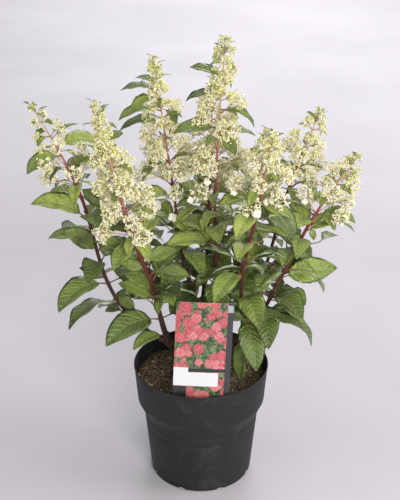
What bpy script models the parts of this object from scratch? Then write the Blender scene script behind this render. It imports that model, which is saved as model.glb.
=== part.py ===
"""A panicle hydrangea in its nursery pot.

Old wood rises from the soil and forks into canes. Each cane carries opposite pairs of leaves and ends in a
long cone of blossom. Every cane, leafy shoot and blossom cone is worked out from a few named sizes.
Metres, +Z up. The origin is the centre of the pot's flat underside.
"""

import math
import random
from typing import NamedTuple

import bmesh
import bpy
from mathutils import Matrix, Vector
from mathutils.bvhtree import BVHTree
from mathutils.geometry import interpolate_bezier

# Clearance between neighbouring solids
GAP = 0.0003

# Pot
POT_HEIGHT = 0.210
RIM_RADIUS = 0.115
COLLAR_FOOT_RADIUS = 0.1095
COLLAR_HEIGHT = 0.067
SHOULDER_HEIGHT = 0.019
COLLAR_FOOT = POT_HEIGHT - COLLAR_HEIGHT
SHOULDER_FOOT = COLLAR_FOOT - SHOULDER_HEIGHT
BODY_TOP_RADIUS = 0.099
BASE_RADIUS = 0.0875
BASE_BEVEL = 0.004
WALL = 0.0018
FLOOR = 0.0029
POT_STEPS = 40
DRAIN_NOTCHES = 8
NOTCH_WIDTH = 0.012
NOTCH_HEIGHT = 0.007
NOTCH_DEPTH = 0.010

# Soil
SOIL_HEIGHT = 0.188
SOIL_EDGE_DROP = 0.005
SOIL_FLAT_RADIUS = 0.040

# Label card, in its own upright plane before it is leaned back
CARD_WIDTH = 0.092
CARD_TOP = 0.371
CARD_FOOT = 0.196
STAKE_TOP_WIDTH = 0.030
STAKE_TIP_WIDTH = 0.008
STAKE_DEPTH = 0.045
CARD_THICKNESS = 0.0010
CARD_CORNER = 0.003
CARD_CENTRE_X = 0.003
CARD_FRONT_Y = -0.1005
CARD_LEAN = math.radians(5.0)

# Old wood
STUMP_HEIGHT = 0.040
STUMP_RADIUS = 0.0125
ROOT_FLARE_RADIUS = 0.0205
ROOT_FLARE_HEIGHT = 0.007
LIMB_FOOT_RADIUS = 0.0085
LIMB_TIP_RADIUS = 0.0062
KNUCKLE_RADIUS = 0.0086
LIMB_FOOT_SHARE = 0.55
LIMB_SAG_SHARE = 0.10
STUB_LENGTH = 0.021

# Canes
CANE_FOOT_RADIUS = 0.0045
CANE_NECK_RADIUS = 0.0032
CANE_TIP_RADIUS = 0.0011

# Leaves
LEAF_LENGTH_LOW = 0.097
LEAF_LENGTH_HIGH = 0.070
LEAF_SLENDERNESS = 0.52
BRACT_LENGTH_LOW = 0.060
BRACT_LENGTH_HIGH = 0.042
BRACT_SLENDERNESS = 0.42
BRACT_TIERS = 2
BARE_FOOT = 0.012
BARE_NECK = 0.014
LEAF_SPREAD = (0.90, 1.08)
LEAF_STRAY = 0.16
LEAF_LIFT = (14.0, 38.0)
LEAF_DROOP = (56.0, 100.0)
LEAF_ROLL = 0.45
PETIOLE_SHARE = 0.16
PETIOLE_RADIUS = 0.0012
LEAF_THICKNESS_SHARE = 0.014
LEAF_FOLD = math.radians(22.0)
LEAF_STATIONS = (0.0, 0.28, 0.66)
LEAF_CLEARANCE = 0.0008
LEAF_SUNK = 0.2
BELLY_PLACE = 0.80
BELLY_FULLNESS = 0.86

# Blossom cones
FIRST_TIER = 0.010
BRACT_LEAD = 0.004
BARE_TIP = 0.012
TIER_CROWDING = 1.18
TIER_TURN = math.radians(61.0)
TIER_TWIGS = 3
HIGH_TIER_TWIGS = 2
HIGH_TIERS_FROM = 3
TWIG_RADIUS = 0.0010
TWIG_FOOT_RADIUS = 0.00125
CLUSTER_RADIUS_LOW = 0.0205
CLUSTER_RADIUS_HIGH = 0.0120
CLUSTER_FLATNESS = 0.82
CLUSTER_SPREAD = (0.85, 1.10)
CONE_HALF_WIDTH = 0.034
CONE_TIP_WIDTH = 0.006
CONE_TAPER = 0.75
TWIG_STRAY = 0.25
TWIG_RISE = (0.45, 0.85)
TWIG_REACH = (0.88, 1.08)
CLUSTER_CLEARANCE = 0.0006
TWIG_SUNK = 0.3


class Limb(NamedTuple):
    """A limb of the old wood: where it forks, and how steeply it leaves the stump."""

    name: str
    bearing: float
    reach: float
    height: float
    spring: float


class Cane(NamedTuple):
    """A cane: the limb that bears it, and the reach and height of its knee, neck and tip."""

    name: str
    limb: str
    bearing: float
    spring: float
    knee: tuple
    neck: tuple
    tip: tuple
    stout: float
    first_pair: float
    pairs: int
    turn: float
    tiers: int


LIMBS = (
    Limb("left", 196.0, 0.055, 0.255, 38.0),
    Limb("right", -2.0, 0.074, 0.270, 42.0),
    Limb("middle", 60.0, 0.016, 0.268, 78.0),
    Limb("back", 92.0, 0.056, 0.262, 48.0),
)

CANES = (
    Cane(
        "left", "left", 180.0, 22.0, (0.143, 0.335), (0.195, 0.527), (0.262, 0.668),
        stout=1.00, first_pair=0.26, pairs=6, turn=90.0, tiers=5,
    ),
    Cane(
        "front_left", "left", -149.0, 58.0, (0.091, 0.381), (0.122, 0.468), (0.180, 0.702),
        stout=1.15, first_pair=0.14, pairs=5, turn=20.0, tiers=6,
    ),
    Cane(
        "middle_left", "middle", 128.0, 66.0, (0.048, 0.385), (0.074, 0.503), (0.124, 0.716),
        stout=0.95, first_pair=0.08, pairs=5, turn=45.0, tiers=6,
    ),
    Cane(
        "centre", "middle", 30.0, 74.0, (0.028, 0.380), (0.026, 0.505), (0.043, 0.767),
        stout=0.95, first_pair=0.24, pairs=5, turn=0.0, tiers=6,
    ),
    Cane(
        "front_right", "right", -42.0, 60.0, (0.088, 0.400), (0.117, 0.528), (0.143, 0.659),
        stout=0.95, first_pair=0.06, pairs=5, turn=60.0, tiers=4,
    ),
    Cane(
        "middle_right", "right", 25.0, 50.0, (0.127, 0.385), (0.158, 0.495), (0.216, 0.631),
        stout=0.90, first_pair=0.24, pairs=4, turn=30.0, tiers=4,
    ),
    Cane(
        "right", "right", 0.0, 36.0, (0.132, 0.372), (0.180, 0.478), (0.248, 0.586),
        stout=1.00, first_pair=0.07, pairs=7, turn=80.0, tiers=4,
    ),
    Cane(
        "back", "back", 84.0, 62.0, (0.092, 0.370), (0.136, 0.470), (0.198, 0.650),
        stout=0.95, first_pair=0.20, pairs=5, turn=10.0, tiers=5,
    ),
    Cane(
        "back_left", "left", 148.0, 42.0, (0.104, 0.340), (0.148, 0.445), (0.200, 0.598),
        stout=0.90, first_pair=0.24, pairs=4, turn=70.0, tiers=4,
    ),
    Cane(
        "back_right", "back", 56.0, 44.0, (0.122, 0.345), (0.156, 0.430), (0.204, 0.570),
        stout=0.90, first_pair=0.22, pairs=4, turn=35.0, tiers=4,
    ),
)

# Leaf pairs whose leaves are set one by one, by cane and by the pair's number from the foot. For each leaf:
# bearing, lift and droop in degrees, and its length as a share of the length usual at that height
SET_PAIRS = {
    "left": {
        0: ((225, 25, 75, 1.00), (45, 24, 74, 0.95)),
        1: ((220, 20, 80, 1.00), (40, 24, 74, 0.95)),
        2: ((260, 30, 70, 0.85), (75, 10, 75, 1.00)),
        3: ((130, 20, 70, 1.00), (310, 24, 74, 0.95)),
        4: ((190, 45, 60, 1.12), (285, 45, 75, 1.00)),
    },
    "front_left": {
        0: ((220, 20, 65, 1.00), (40, 24, 74, 0.95)),
        1: ((135, 20, 70, 1.00), (295, 45, 35, 1.00)),
        2: ((170, 45, 75, 0.78), (60, 45, 55, 1.00)),
        3: ((190, 45, 30, 1.00), (110, 20, 75, 1.00)),
        4: ((65, 40, 70, 1.08), (245, 24, 74, 0.95)),
    },
    "middle_left": {
        1: ((245, 40, 60, 1.00), (65, 24, 74, 0.95)),
        2: ((265, 40, 70, 1.00), (85, 24, 74, 0.95)),
    },
    "centre": {
        0: ((110, 5, 80, 1.00), (290, 24, 74, 0.95)),
        1: ((105, 25, 65, 1.05), (60, 30, 65, 0.85)),
    },
    "front_right": {
        0: ((265, -15, 70, 1.15), (85, 24, 74, 0.95)),
        1: ((105, 10, 75, 1.00), (285, 24, 74, 0.95)),
        3: ((65, -5, 75, 1.00), (255, 35, 70, 0.85)),
        4: ((245, 25, 70, 1.00), (65, 24, 74, 0.95)),
    },
    "right": {
        0: ((275, 20, 80, 1.08), (0, -10, 70, 1.00)),
        1: ((300, 30, 65, 0.92), (125, 5, 80, 1.00)),
        2: ((245, 45, 60, 1.00), (65, 24, 74, 0.95)),
        3: ((20, 20, 65, 1.00), (200, 24, 74, 0.95)),
        4: ((255, 40, 70, 1.00), (75, 24, 74, 0.95)),
        5: ((155, 20, 85, 1.00), (260, 35, 75, 1.00)),
        6: ((25, 25, 70, 1.00), (245, 45, 70, 1.00)),
    },
}

# Tries for a leaf that would touch a neighbour: degrees added to azimuth and lift, and share of its length
LEAF_TRIES = (
    (0, 0, 1.00),
    (18, 8, 1.00),
    (-18, -8, 1.00),
    (30, -18, 0.92),
    (-30, 18, 0.92),
    (12, 30, 0.84),
    (-12, -30, 0.84),
    (40, 20, 0.74),
    (-40, -20, 0.74),
)


def clear_scene():
    """Removes what a new Blender scene holds."""
    for obj in list(bpy.data.objects):
        bpy.data.objects.remove(obj, do_unlink=True)


def new_collection(name):
    """A collection under the scene's own."""
    collection = bpy.data.collections.new(name)
    bpy.context.scene.collection.children.link(collection)
    return collection


def material(name, colour, roughness, metallic=0.0):
    """A Principled material."""
    made = bpy.data.materials.new(name)
    made.use_nodes = True
    shader = made.node_tree.nodes["Principled BSDF"]
    shader.inputs["Base Color"].default_value = (*colour, 1.0)
    shader.inputs["Roughness"].default_value = roughness
    shader.inputs["Metallic"].default_value = metallic
    made.diffuse_color = (*colour, 1.0)
    return made


def object_from(bm, name, collection):
    """Turns a bmesh into an object in a collection."""
    mesh = bpy.data.meshes.new(name)
    bm.to_mesh(mesh)
    bm.free()
    obj = bpy.data.objects.new(name, mesh)
    collection.objects.link(obj)
    return obj


def baked(obj, name, collection):
    """The evaluated mesh of an object as a new object, with loose caps welded. The old object goes."""
    graph = bpy.context.evaluated_depsgraph_get()
    mesh = bpy.data.meshes.new_from_object(obj.evaluated_get(graph))
    matrix = obj.matrix_world.copy()
    bpy.data.objects.remove(obj, do_unlink=True)
    bm = bmesh.new()
    bm.from_mesh(mesh)
    bmesh.ops.remove_doubles(bm, verts=bm.verts, dist=1e-6)
    bm.to_mesh(mesh)
    bm.free()
    made = bpy.data.objects.new(name, mesh)
    made.matrix_world = matrix
    collection.objects.link(made)
    return made


def keep_main_body(mesh):
    """Keeps the body with the most faces, so that loose scrap goes and a sealed hollow is filled."""
    bm = bmesh.new()
    bm.from_mesh(mesh)
    left = set(bm.faces)
    bodies = []
    while left:
        body = set()
        front = [left.pop()]
        while front:
            face = front.pop()
            body.add(face)
            near = {other for edge in face.edges for other in edge.link_faces} & left
            left -= near
            front.extend(near)
        bodies.append(body)
    bodies.sort(key=len)
    for body in bodies[:-1]:
        bmesh.ops.delete(bm, geom=list(body), context="FACES")
    bmesh.ops.triangulate(bm, faces=bm.faces)
    bm.to_mesh(mesh)
    bm.free()


def fused(name, body, additions, finish):
    """One solid made of a body and a collection of additions, by one Boolean union."""
    union = body.modifiers.new("union", "BOOLEAN")
    union.operation = "UNION"
    union.solver = "EXACT"
    union.operand_type = "COLLECTION"
    union.collection = additions
    made = baked(body, name, PLANT)
    for obj in list(additions.objects):
        bpy.data.objects.remove(obj, do_unlink=True)
    bpy.data.collections.remove(additions)
    keep_main_body(made.data)
    made.data.materials.clear()
    made.data.materials.append(finish)
    made.data.set_sharp_from_angle(angle=math.radians(45))
    return made


def tree_of(obj):
    """A search tree of an object's evaluated faces in world space."""
    graph = bpy.context.evaluated_depsgraph_get()
    mesh = obj.evaluated_get(graph).to_mesh()
    points = [obj.matrix_world @ vert.co for vert in mesh.vertices]
    faces = [tuple(face.vertices) for face in mesh.polygons]
    return BVHTree.FromPolygons(points, faces)


def polar(bearing, reach, height):
    """A point given by its bearing in degrees and its reach from the pot's axis."""
    angle = math.radians(bearing)
    return Vector((reach * math.cos(angle), reach * math.sin(angle), height))


def heading(bearing, elevation):
    """A unit vector given by its bearing and elevation in degrees."""
    rise = math.radians(elevation)
    return polar(bearing, math.cos(rise), math.sin(rise))


class Path:
    """A smooth centreline through knots, measured along its length."""

    def __init__(self, knots, start, resolution=24):
        tangents = [start.normalized()]
        for before, after in zip(knots, knots[2:]):
            tangents.append((after - before).normalized())
        last = (knots[-1] - knots[-2]).normalized()
        tangents.append((2.0 * last - tangents[-1]).normalized())
        self.points = [knots[0]]
        for i in range(len(knots) - 1):
            third = (knots[i + 1] - knots[i]).length / 3.0
            handle = knots[i] + tangents[i] * third
            other = knots[i + 1] - tangents[i + 1] * third
            run = interpolate_bezier(knots[i], handle, other, knots[i + 1], resolution)
            self.points.extend(Vector(point) for point in run[1:])
        self.lengths = [0.0]
        for a, b in zip(self.points, self.points[1:]):
            self.lengths.append(self.lengths[-1] + (b - a).length)
        self.length = self.lengths[-1]

    def at(self, s):
        """The point at a distance along the path."""
        s = min(max(s, 0.0), self.length)
        i = 1
        while self.lengths[i] < s and i < len(self.points) - 1:
            i += 1
        share = (s - self.lengths[i - 1]) / (self.lengths[i] - self.lengths[i - 1])
        return self.points[i - 1].lerp(self.points[i], share)

    def tangent(self, s, reach=0.006):
        """The smoothed direction at a distance along the path."""
        return (self.at(s + reach) - self.at(s - reach)).normalized()

    def nearest(self, knot):
        """The distance along the path of its closest point to a knot."""
        best = min(range(len(self.points)), key=lambda i: (self.points[i] - knot).length)
        return self.lengths[best]


def tube(name, path, start, end, radius_at, sides_level, count, collection, extra=0.0):
    """A tapering tube along a stretch of a path, with flat ends square to it."""
    lead = min(0.002, (end - start) / 4)
    stations = [start + (end - start) * i / (count - 1) for i in range(count)]
    spots = [(path.at(s), radius_at(s) + extra) for s in stations]
    first = path.at(start) + path.tangent(start) * lead
    last = path.at(end) - path.tangent(end) * lead
    spots.insert(1, (first, radius_at(start + lead) + extra))
    spots.insert(-1, (last, radius_at(end - lead) + extra))
    curve = bpy.data.curves.new(name, "CURVE")
    curve.dimensions = "3D"
    curve.bevel_depth = 1.0
    curve.bevel_resolution = sides_level
    curve.use_fill_caps = True
    spline = curve.splines.new("POLY")
    spline.points.add(len(spots) - 1)
    for point, (place, radius) in zip(spline.points, spots):
        point.co = (*place, 1.0)
        point.radius = radius
    line = bpy.data.objects.new(name, curve)
    collection.objects.link(line)
    made = baked(line, name, collection)
    bpy.data.curves.remove(curve)
    return made


def plain_finish(obj, finish):
    """Gives a finished solid its material and rounds its shading."""
    obj.data.materials.clear()
    obj.data.materials.append(finish)
    obj.data.set_sharp_from_angle(angle=math.radians(45))


def turned(name, profile, steps, collection):
    """A closed profile turned about Z. Its points run out, down its outer side and back."""
    mesh = bpy.data.meshes.new(name)
    closing = [] if profile[0][0] == 0.0 else [(len(profile) - 1, 0)]
    edges = [(i, i + 1) for i in range(len(profile) - 1)] + closing
    mesh.from_pydata([(radius, 0.0, height) for radius, height in profile], edges, [])
    obj = bpy.data.objects.new(name, mesh)
    collection.objects.link(obj)
    screw = obj.modifiers.new("turn", "SCREW")
    screw.axis = "Z"
    screw.steps = steps
    screw.render_steps = steps
    screw.use_merge_vertices = True
    screw.merge_threshold = 1e-5
    return obj


def wall_radius(height):
    """The pot's outer radius at a height."""
    stations = (
        (0.0, BASE_RADIUS),
        (SHOULDER_FOOT, BODY_TOP_RADIUS),
        (COLLAR_FOOT, COLLAR_FOOT_RADIUS),
        (POT_HEIGHT, RIM_RADIUS),
    )
    for (low, narrow), (high, wide) in zip(stations, stations[1:]):
        if height <= high:
            return narrow + (wide - narrow) * (height - low) / (high - low)
    return RIM_RADIUS


def make_pot():
    """The pot: a turned wall and floor, with drain notches at the foot."""
    profile = [
        (0.0, FLOOR),
        (BASE_RADIUS - WALL - BASE_BEVEL, FLOOR),
        (BODY_TOP_RADIUS - WALL, SHOULDER_FOOT),
        (COLLAR_FOOT_RADIUS - WALL, COLLAR_FOOT + WALL),
        (RIM_RADIUS - WALL, POT_HEIGHT),
        (RIM_RADIUS, POT_HEIGHT),
        (RIM_RADIUS, POT_HEIGHT - 0.004),
        (COLLAR_FOOT_RADIUS, COLLAR_FOOT),
        (BODY_TOP_RADIUS, SHOULDER_FOOT),
        (wall_radius(NOTCH_HEIGHT * 1.5), NOTCH_HEIGHT * 1.5),
        (BASE_RADIUS, BASE_BEVEL),
        (BASE_RADIUS - BASE_BEVEL / 2, 0.0),
        (0.0, 0.0),
    ]
    pot = turned("pot", profile, POT_STEPS, PLANT)
    cutters = bpy.data.collections.new("drain notches")
    CUTTERS.children.link(cutters)
    for i in range(DRAIN_NOTCHES):
        angle = 2 * math.pi * (i + 0.5) / DRAIN_NOTCHES
        bm = bmesh.new()
        bmesh.ops.create_cube(bm, size=1.0)
        bmesh.ops.scale(bm, verts=bm.verts, vec=(NOTCH_DEPTH, NOTCH_WIDTH, NOTCH_HEIGHT * 2))
        bmesh.ops.translate(bm, verts=bm.verts, vec=(BASE_RADIUS, 0.0, 0.0))
        bmesh.ops.rotate(bm, verts=bm.verts, cent=(0, 0, 0), matrix=Matrix.Rotation(angle, 3, "Z"))
        cutter = object_from(bm, f"notch_{i}", cutters)
        cutter.hide_render = True
        cutter.display_type = "WIRE"
    cut = pot.modifiers.new("drain notches", "BOOLEAN")
    cut.operation = "DIFFERENCE"
    cut.operand_type = "COLLECTION"
    cut.collection = cutters
    plain_finish(pot, material("pot_plastic", (0.018, 0.019, 0.021), 0.55))
    return pot


def card_outline():
    """The card's outline as seen from the front: a tall card on a tapering stake."""
    half = CARD_WIDTH / 2
    corners = [
        (half, CARD_FOOT),
        (half, CARD_TOP),
        (-half, CARD_TOP),
        (-half, CARD_FOOT),
    ]
    points = []
    for i, (x, z) in enumerate(corners):
        start = -math.pi / 2 + i * math.pi / 2
        centre_x = x - math.copysign(CARD_CORNER, x)
        centre_z = z + CARD_CORNER if z == CARD_FOOT else z - CARD_CORNER
        for step in range(3):
            angle = start + step * math.pi / 4
            x_out = CARD_CORNER * math.cos(angle)
            z_out = CARD_CORNER * math.sin(angle)
            points.append((centre_x + x_out, centre_z + z_out))
    stake_foot = SOIL_HEIGHT - STAKE_DEPTH
    points.append((-STAKE_TOP_WIDTH / 2, CARD_FOOT))
    points.append((-STAKE_TIP_WIDTH / 2, stake_foot))
    points.append((STAKE_TIP_WIDTH / 2, stake_foot))
    points.append((STAKE_TOP_WIDTH / 2, CARD_FOOT))
    return points


def card_object(name, grown, collection):
    """The card as a flat outline with a thickness, leaned back on its stake."""
    curve = bpy.data.curves.new(name, "CURVE")
    curve.dimensions = "2D"
    curve.fill_mode = "BOTH"
    curve.extrude = CARD_THICKNESS / 2 + grown
    curve.offset = grown
    spline = curve.splines.new("POLY")
    outline = card_outline()
    spline.points.add(len(outline) - 1)
    for point, (x, z) in zip(spline.points, outline):
        point.co = (x, z - CARD_FOOT, 0.0, 1.0)
    spline.use_cyclic_u = True
    flat = bpy.data.objects.new(name, curve)
    flat.location = (CARD_CENTRE_X, CARD_FRONT_Y, CARD_FOOT)
    flat.rotation_euler = (math.pi / 2 - CARD_LEAN, 0.0, 0.0)
    collection.objects.link(flat)
    bpy.context.view_layer.update()
    made = baked(flat, name, collection)
    bpy.data.curves.remove(curve)
    return made


def make_label():
    """The label card, whose stake stands in the soil."""
    label = card_object("label", 0.0, PLANT)
    plain_finish(label, material("label_card", (0.62, 0.42, 0.42), 0.45))
    return label


def make_soil():
    """The soil: a turned plug clear of the pot's wall, with a slot for the label's stake."""
    inner = WALL + GAP
    edge = SOIL_HEIGHT - SOIL_EDGE_DROP
    floor = FLOOR + GAP
    profile = [
        (0.0, SOIL_HEIGHT),
        (SOIL_FLAT_RADIUS, SOIL_HEIGHT),
        (wall_radius(edge) - inner - GAP, edge),
        (COLLAR_FOOT_RADIUS - inner - GAP, COLLAR_FOOT + WALL),
        (BODY_TOP_RADIUS - inner - GAP, SHOULDER_FOOT),
        (BASE_RADIUS - inner - GAP - BASE_BEVEL, floor),
        (0.0, floor),
    ]
    soil = turned("soil", profile, POT_STEPS, PLANT)
    cutter = card_object("label_slot", GAP, CUTTERS)
    cutter.hide_render = True
    cutter.display_type = "WIRE"
    cut = soil.modifiers.new("label slot", "BOOLEAN")
    cut.operation = "DIFFERENCE"
    cut.object = cutter
    plain_finish(soil, material("soil_crumb", (0.055, 0.032, 0.020), 0.95))
    return soil


def limb_path(limb):
    """The centreline of a limb of old wood, from inside the stump to its fork."""
    stump_top = Vector((0.0, 0.0, SOIL_HEIGHT + STUMP_HEIGHT * LIMB_FOOT_SHARE))
    fork = polar(limb.bearing, limb.reach, limb.height)
    middle = stump_top.lerp(fork, 0.5)
    middle.z -= LIMB_SAG_SHARE * (fork - stump_top).length
    return Path([stump_top, middle, fork], heading(limb.bearing, limb.spring), 8)


def cane_path(cane):
    """The centreline of a cane from its fork to the tip of its blossom."""
    limb = next(limb for limb in LIMBS if limb.name == cane.limb)
    foot = polar(limb.bearing, limb.reach, limb.height)
    knots = [foot]
    knots.extend(polar(cane.bearing, *place) for place in (cane.knee, cane.neck, cane.tip))
    outward = polar(cane.bearing, *cane.knee) - foot
    bearing = math.degrees(math.atan2(outward.y, outward.x))
    return Path(knots, heading(bearing, cane.spring))


class Growth:
    """One cane measured out: its path, its splits and its radius."""

    def __init__(self, cane):
        self.cane = cane
        self.path = cane_path(cane)
        self.neck = self.path.nearest(polar(cane.bearing, *cane.neck))
        self.leafy = STUB_LENGTH + (self.neck - STUB_LENGTH) * cane.first_pair

    def radius(self, s):
        """The cane's radius at a distance along its path."""
        if s < self.neck:
            thick = CANE_FOOT_RADIUS + (CANE_NECK_RADIUS - CANE_FOOT_RADIUS) * s / self.neck
        else:
            share = (s - self.neck) / (self.path.length - self.neck)
            thick = CANE_NECK_RADIUS + (CANE_TIP_RADIUS - CANE_NECK_RADIUS) * share
        return thick * self.cane.stout


class Leaf(NamedTuple):
    """A leaf by its root, its azimuth, lift, droop and roll, and its sizes."""

    root: Vector
    azimuth: float
    lift: float
    droop: float
    roll: float
    length: float
    width: float
    petiole: float


def half_width(leaf, u):
    """Half the blade's width at a share of its length: widest below the middle and drawn out at the tip."""
    return 0.5 * leaf.width * max(math.sin(math.pi * u ** BELLY_PLACE), 0.0) ** BELLY_FULLNESS


def leaf_frame(leaf, u):
    """The midrib's point at a share of the blade, and its forward, side and upper directions there."""
    out = Vector((math.cos(leaf.azimuth), math.sin(leaf.azimuth), 0.0))
    up = Vector((0.0, 0.0, 1.0))
    bend = leaf.droop / leaf.length
    pitch = leaf.lift - leaf.droop * u
    along = (math.sin(leaf.lift) - math.sin(pitch)) / bend
    rise = (math.cos(pitch) - math.cos(leaf.lift)) / bend
    foot = leaf.root + (out * math.cos(leaf.lift) + up * math.sin(leaf.lift)) * leaf.petiole
    forward = out * math.cos(pitch) + up * math.sin(pitch)
    normal = up * math.cos(pitch) - out * math.sin(pitch)
    turn = Matrix.Rotation(leaf.roll, 3, forward)
    return foot + out * along + up * rise, forward, turn @ forward.cross(normal), turn @ normal


def leaf_point(leaf, u, v):
    """A point of the blade: u runs along the midrib, and v from one margin to the other."""
    rib, _, side, normal = leaf_frame(leaf, u)
    half = half_width(leaf, u)
    return rib + side * (v * half * math.cos(LEAF_FOLD)) + normal * (abs(v) * half * math.sin(LEAF_FOLD))


def leaf_solid(leaf, extra=0.0, bare_blade=False):
    """A leaf as points and faces: a loft of four-point sections from its sunk root to its tip."""
    thick = leaf.length * LEAF_THICKNESS_SHARE / 2 + extra
    points = []
    if not bare_blade:
        _, forward, side, normal = leaf_frame(leaf, 0.0)
        radius = PETIOLE_RADIUS + extra
        for offset in (side, normal, -side, -normal):
            points.append(leaf.root + offset * radius)
    for u in LEAF_STATIONS:
        rib, forward, side, normal = leaf_frame(leaf, u)
        if u == 0.0:
            radius = PETIOLE_RADIUS + extra
            points.extend(rib + offset * radius for offset in (side, normal, -side, -normal))
            continue
        spread = side * extra
        points.append(leaf_point(leaf, u, 1.0) + spread)
        points.append(rib + normal * thick)
        points.append(leaf_point(leaf, u, -1.0) - spread)
        points.append(rib - normal * thick)
    rib, forward, side, normal = leaf_frame(leaf, 1.0)
    points.append(rib + forward * extra)
    tip = len(points) - 1
    faces = [(3, 2, 1, 0)]
    for ring in range(0, tip - 4, 4):
        for i in range(4):
            j = (i + 1) % 4
            faces.append((ring + i, ring + j, ring + 4 + j, ring + 4 + i))
    for i in range(4):
        faces.append((tip - 4 + i, tip - 4 + (i + 1) % 4, tip))
    return points, faces


def mesh_object(name, points, faces, collection):
    """A closed mesh object from points and faces, with its faces turned out."""
    bm = bmesh.new()
    verts = [bm.verts.new(point) for point in points]
    for face in faces:
        bm.faces.new([verts[i] for i in face])
    bmesh.ops.recalc_face_normals(bm, faces=bm.faces)
    return object_from(bm, name, collection)


class Cluster(NamedTuple):
    """A cluster of blossom on its side twig."""

    root: Vector
    heart: Vector
    radius: float


def cluster_tree(cluster, extra):
    """A search tree of a cluster and its twig, grown by some clearance."""
    bm = bmesh.new()
    add_twig(bm, cluster, extra)
    add_heart(bm, cluster, extra)
    tree = BVHTree.FromBMesh(bm)
    bm.free()
    return tree


def add_twig(bm, cluster, extra=0.0):
    """Adds a cluster's three-sided twig, from inside the rachis to inside the cluster."""
    line = cluster.heart - cluster.root
    turn = line.to_track_quat("Z", "Y").to_matrix().to_4x4()
    place = Matrix.Translation((cluster.root + cluster.heart) / 2) @ turn
    bmesh.ops.create_cone(
        bm,
        cap_ends=True,
        segments=3,
        radius1=TWIG_FOOT_RADIUS + extra,
        radius2=TWIG_RADIUS + extra,
        depth=line.length,
        matrix=place,
    )


def add_heart(bm, cluster, extra=0.0):
    """Adds a cluster's rounded mass of florets, a little flatter along its twig."""
    turn = (cluster.heart - cluster.root).to_track_quat("Z", "Y").to_matrix().to_4x4()
    flat = Matrix.Diagonal((1.0, 1.0, CLUSTER_FLATNESS, 1.0))
    place = Matrix.Translation(cluster.heart) @ turn @ flat
    bmesh.ops.create_icosphere(bm, subdivisions=1, radius=cluster.radius + extra, matrix=place)


def tier_shares(count):
    """Where a cone's tiers leave its rachis: closer together towards the tip."""
    return [1.0 - (1.0 - i / count) ** TIER_CROWDING for i in range(count)]


def across(tangent, angle):
    """A unit vector square to a tangent, at an angle round it."""
    flat = tangent.cross(Vector((0.0, 1.0, 0.0))).normalized()
    return Matrix.Rotation(angle, 3, tangent) @ flat


def grow_clusters(growth, taken):
    """The clusters of one cone: tiers of side twigs that shorten towards the tip."""
    cane = growth.cane
    path = growth.path
    span = path.length - growth.neck
    rng = random.Random("blossom " + cane.name)
    clusters = []
    own = []
    for tier, share in enumerate(tier_shares(cane.tiers)):
        s = growth.neck + FIRST_TIER + (span - FIRST_TIER - BARE_TIP) * share
        tangent = path.tangent(s)
        size = CLUSTER_RADIUS_LOW + (CLUSTER_RADIUS_HIGH - CLUSTER_RADIUS_LOW) * share
        spread = CONE_HALF_WIDTH * (1.0 - share) ** CONE_TAPER + CONE_TIP_WIDTH
        twigs = TIER_TWIGS if tier < HIGH_TIERS_FROM else HIGH_TIER_TWIGS
        for twig in range(twigs):
            turn = tier * TIER_TURN + 2 * math.pi * twig / twigs + rng.uniform(-TWIG_STRAY, TWIG_STRAY)
            rise = spread * rng.uniform(*TWIG_RISE)
            reach = spread * rng.uniform(*TWIG_REACH)
            side = across(tangent, turn)
            root = path.at(s) + side * growth.radius(s) * TWIG_SUNK
            heart = path.at(s) + side * reach + tangent * rise
            cluster = Cluster(root, heart, size * rng.uniform(*CLUSTER_SPREAD))
            tree = cluster_tree(cluster, CLUSTER_CLEARANCE)
            if any(tree.overlap(other) for other in taken):
                continue
            clusters.append(cluster)
            own.append(tree)
    top = path.length - CLUSTER_RADIUS_HIGH / 3
    crown = Cluster(path.at(top - CLUSTER_RADIUS_HIGH), path.at(top), CLUSTER_RADIUS_HIGH)
    clusters.append(crown)
    own.append(cluster_tree(crown, CLUSTER_CLEARANCE))
    return clusters, own


def place_leaf(wanted, away, near, own):
    """The first try of a leaf that keeps clear of its neighbours, or None."""
    for yaw, pitch, share in LEAF_TRIES:
        leaf = wanted._replace(
            azimuth=wanted.azimuth + math.radians(yaw),
            lift=wanted.lift + math.radians(pitch),
            length=wanted.length * share,
            width=wanted.width * share,
        )
        whole = BVHTree.FromPolygons(*leaf_solid(leaf, LEAF_CLEARANCE))
        if any(whole.overlap(tree) for tree in away):
            continue
        blade = BVHTree.FromPolygons(*leaf_solid(leaf, LEAF_CLEARANCE, True))
        if any(blade.overlap(tree) for tree in near + own):
            continue
        own.append(blade)
        return leaf, whole
    return None


def leaf_pair(growth, s, turn, length, slenderness, rng, settings=(None, None)):
    """The two opposite leaves wanted at a distance along a cane, each by its own settings if it has any."""
    path = growth.path
    tangent = path.tangent(s)
    pair = []
    for half, setting in enumerate(settings):
        side = across(tangent, turn + math.pi * half)
        azimuth = math.atan2(side.y, side.x) + rng.uniform(-LEAF_STRAY, LEAF_STRAY)
        lift = math.radians(rng.uniform(*LEAF_LIFT)) + math.asin(max(min(side.z, 1.0), -1.0)) * 0.5
        droop = math.radians(rng.uniform(*LEAF_DROOP))
        size = length * rng.uniform(*LEAF_SPREAD)
        if setting:
            azimuth, lift, droop = (math.radians(angle) for angle in setting[:3])
            size = length * setting[3]
            side = heading(setting[0], 0.0)
        pair.append(
            Leaf(
                root=path.at(s) + side * growth.radius(s) * LEAF_SUNK,
                azimuth=azimuth,
                lift=lift,
                droop=droop,
                roll=rng.uniform(-LEAF_ROLL, LEAF_ROLL),
                length=size,
                width=size * slenderness,
                petiole=size * PETIOLE_SHARE + growth.radius(s),
            )
        )
    return pair


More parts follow.
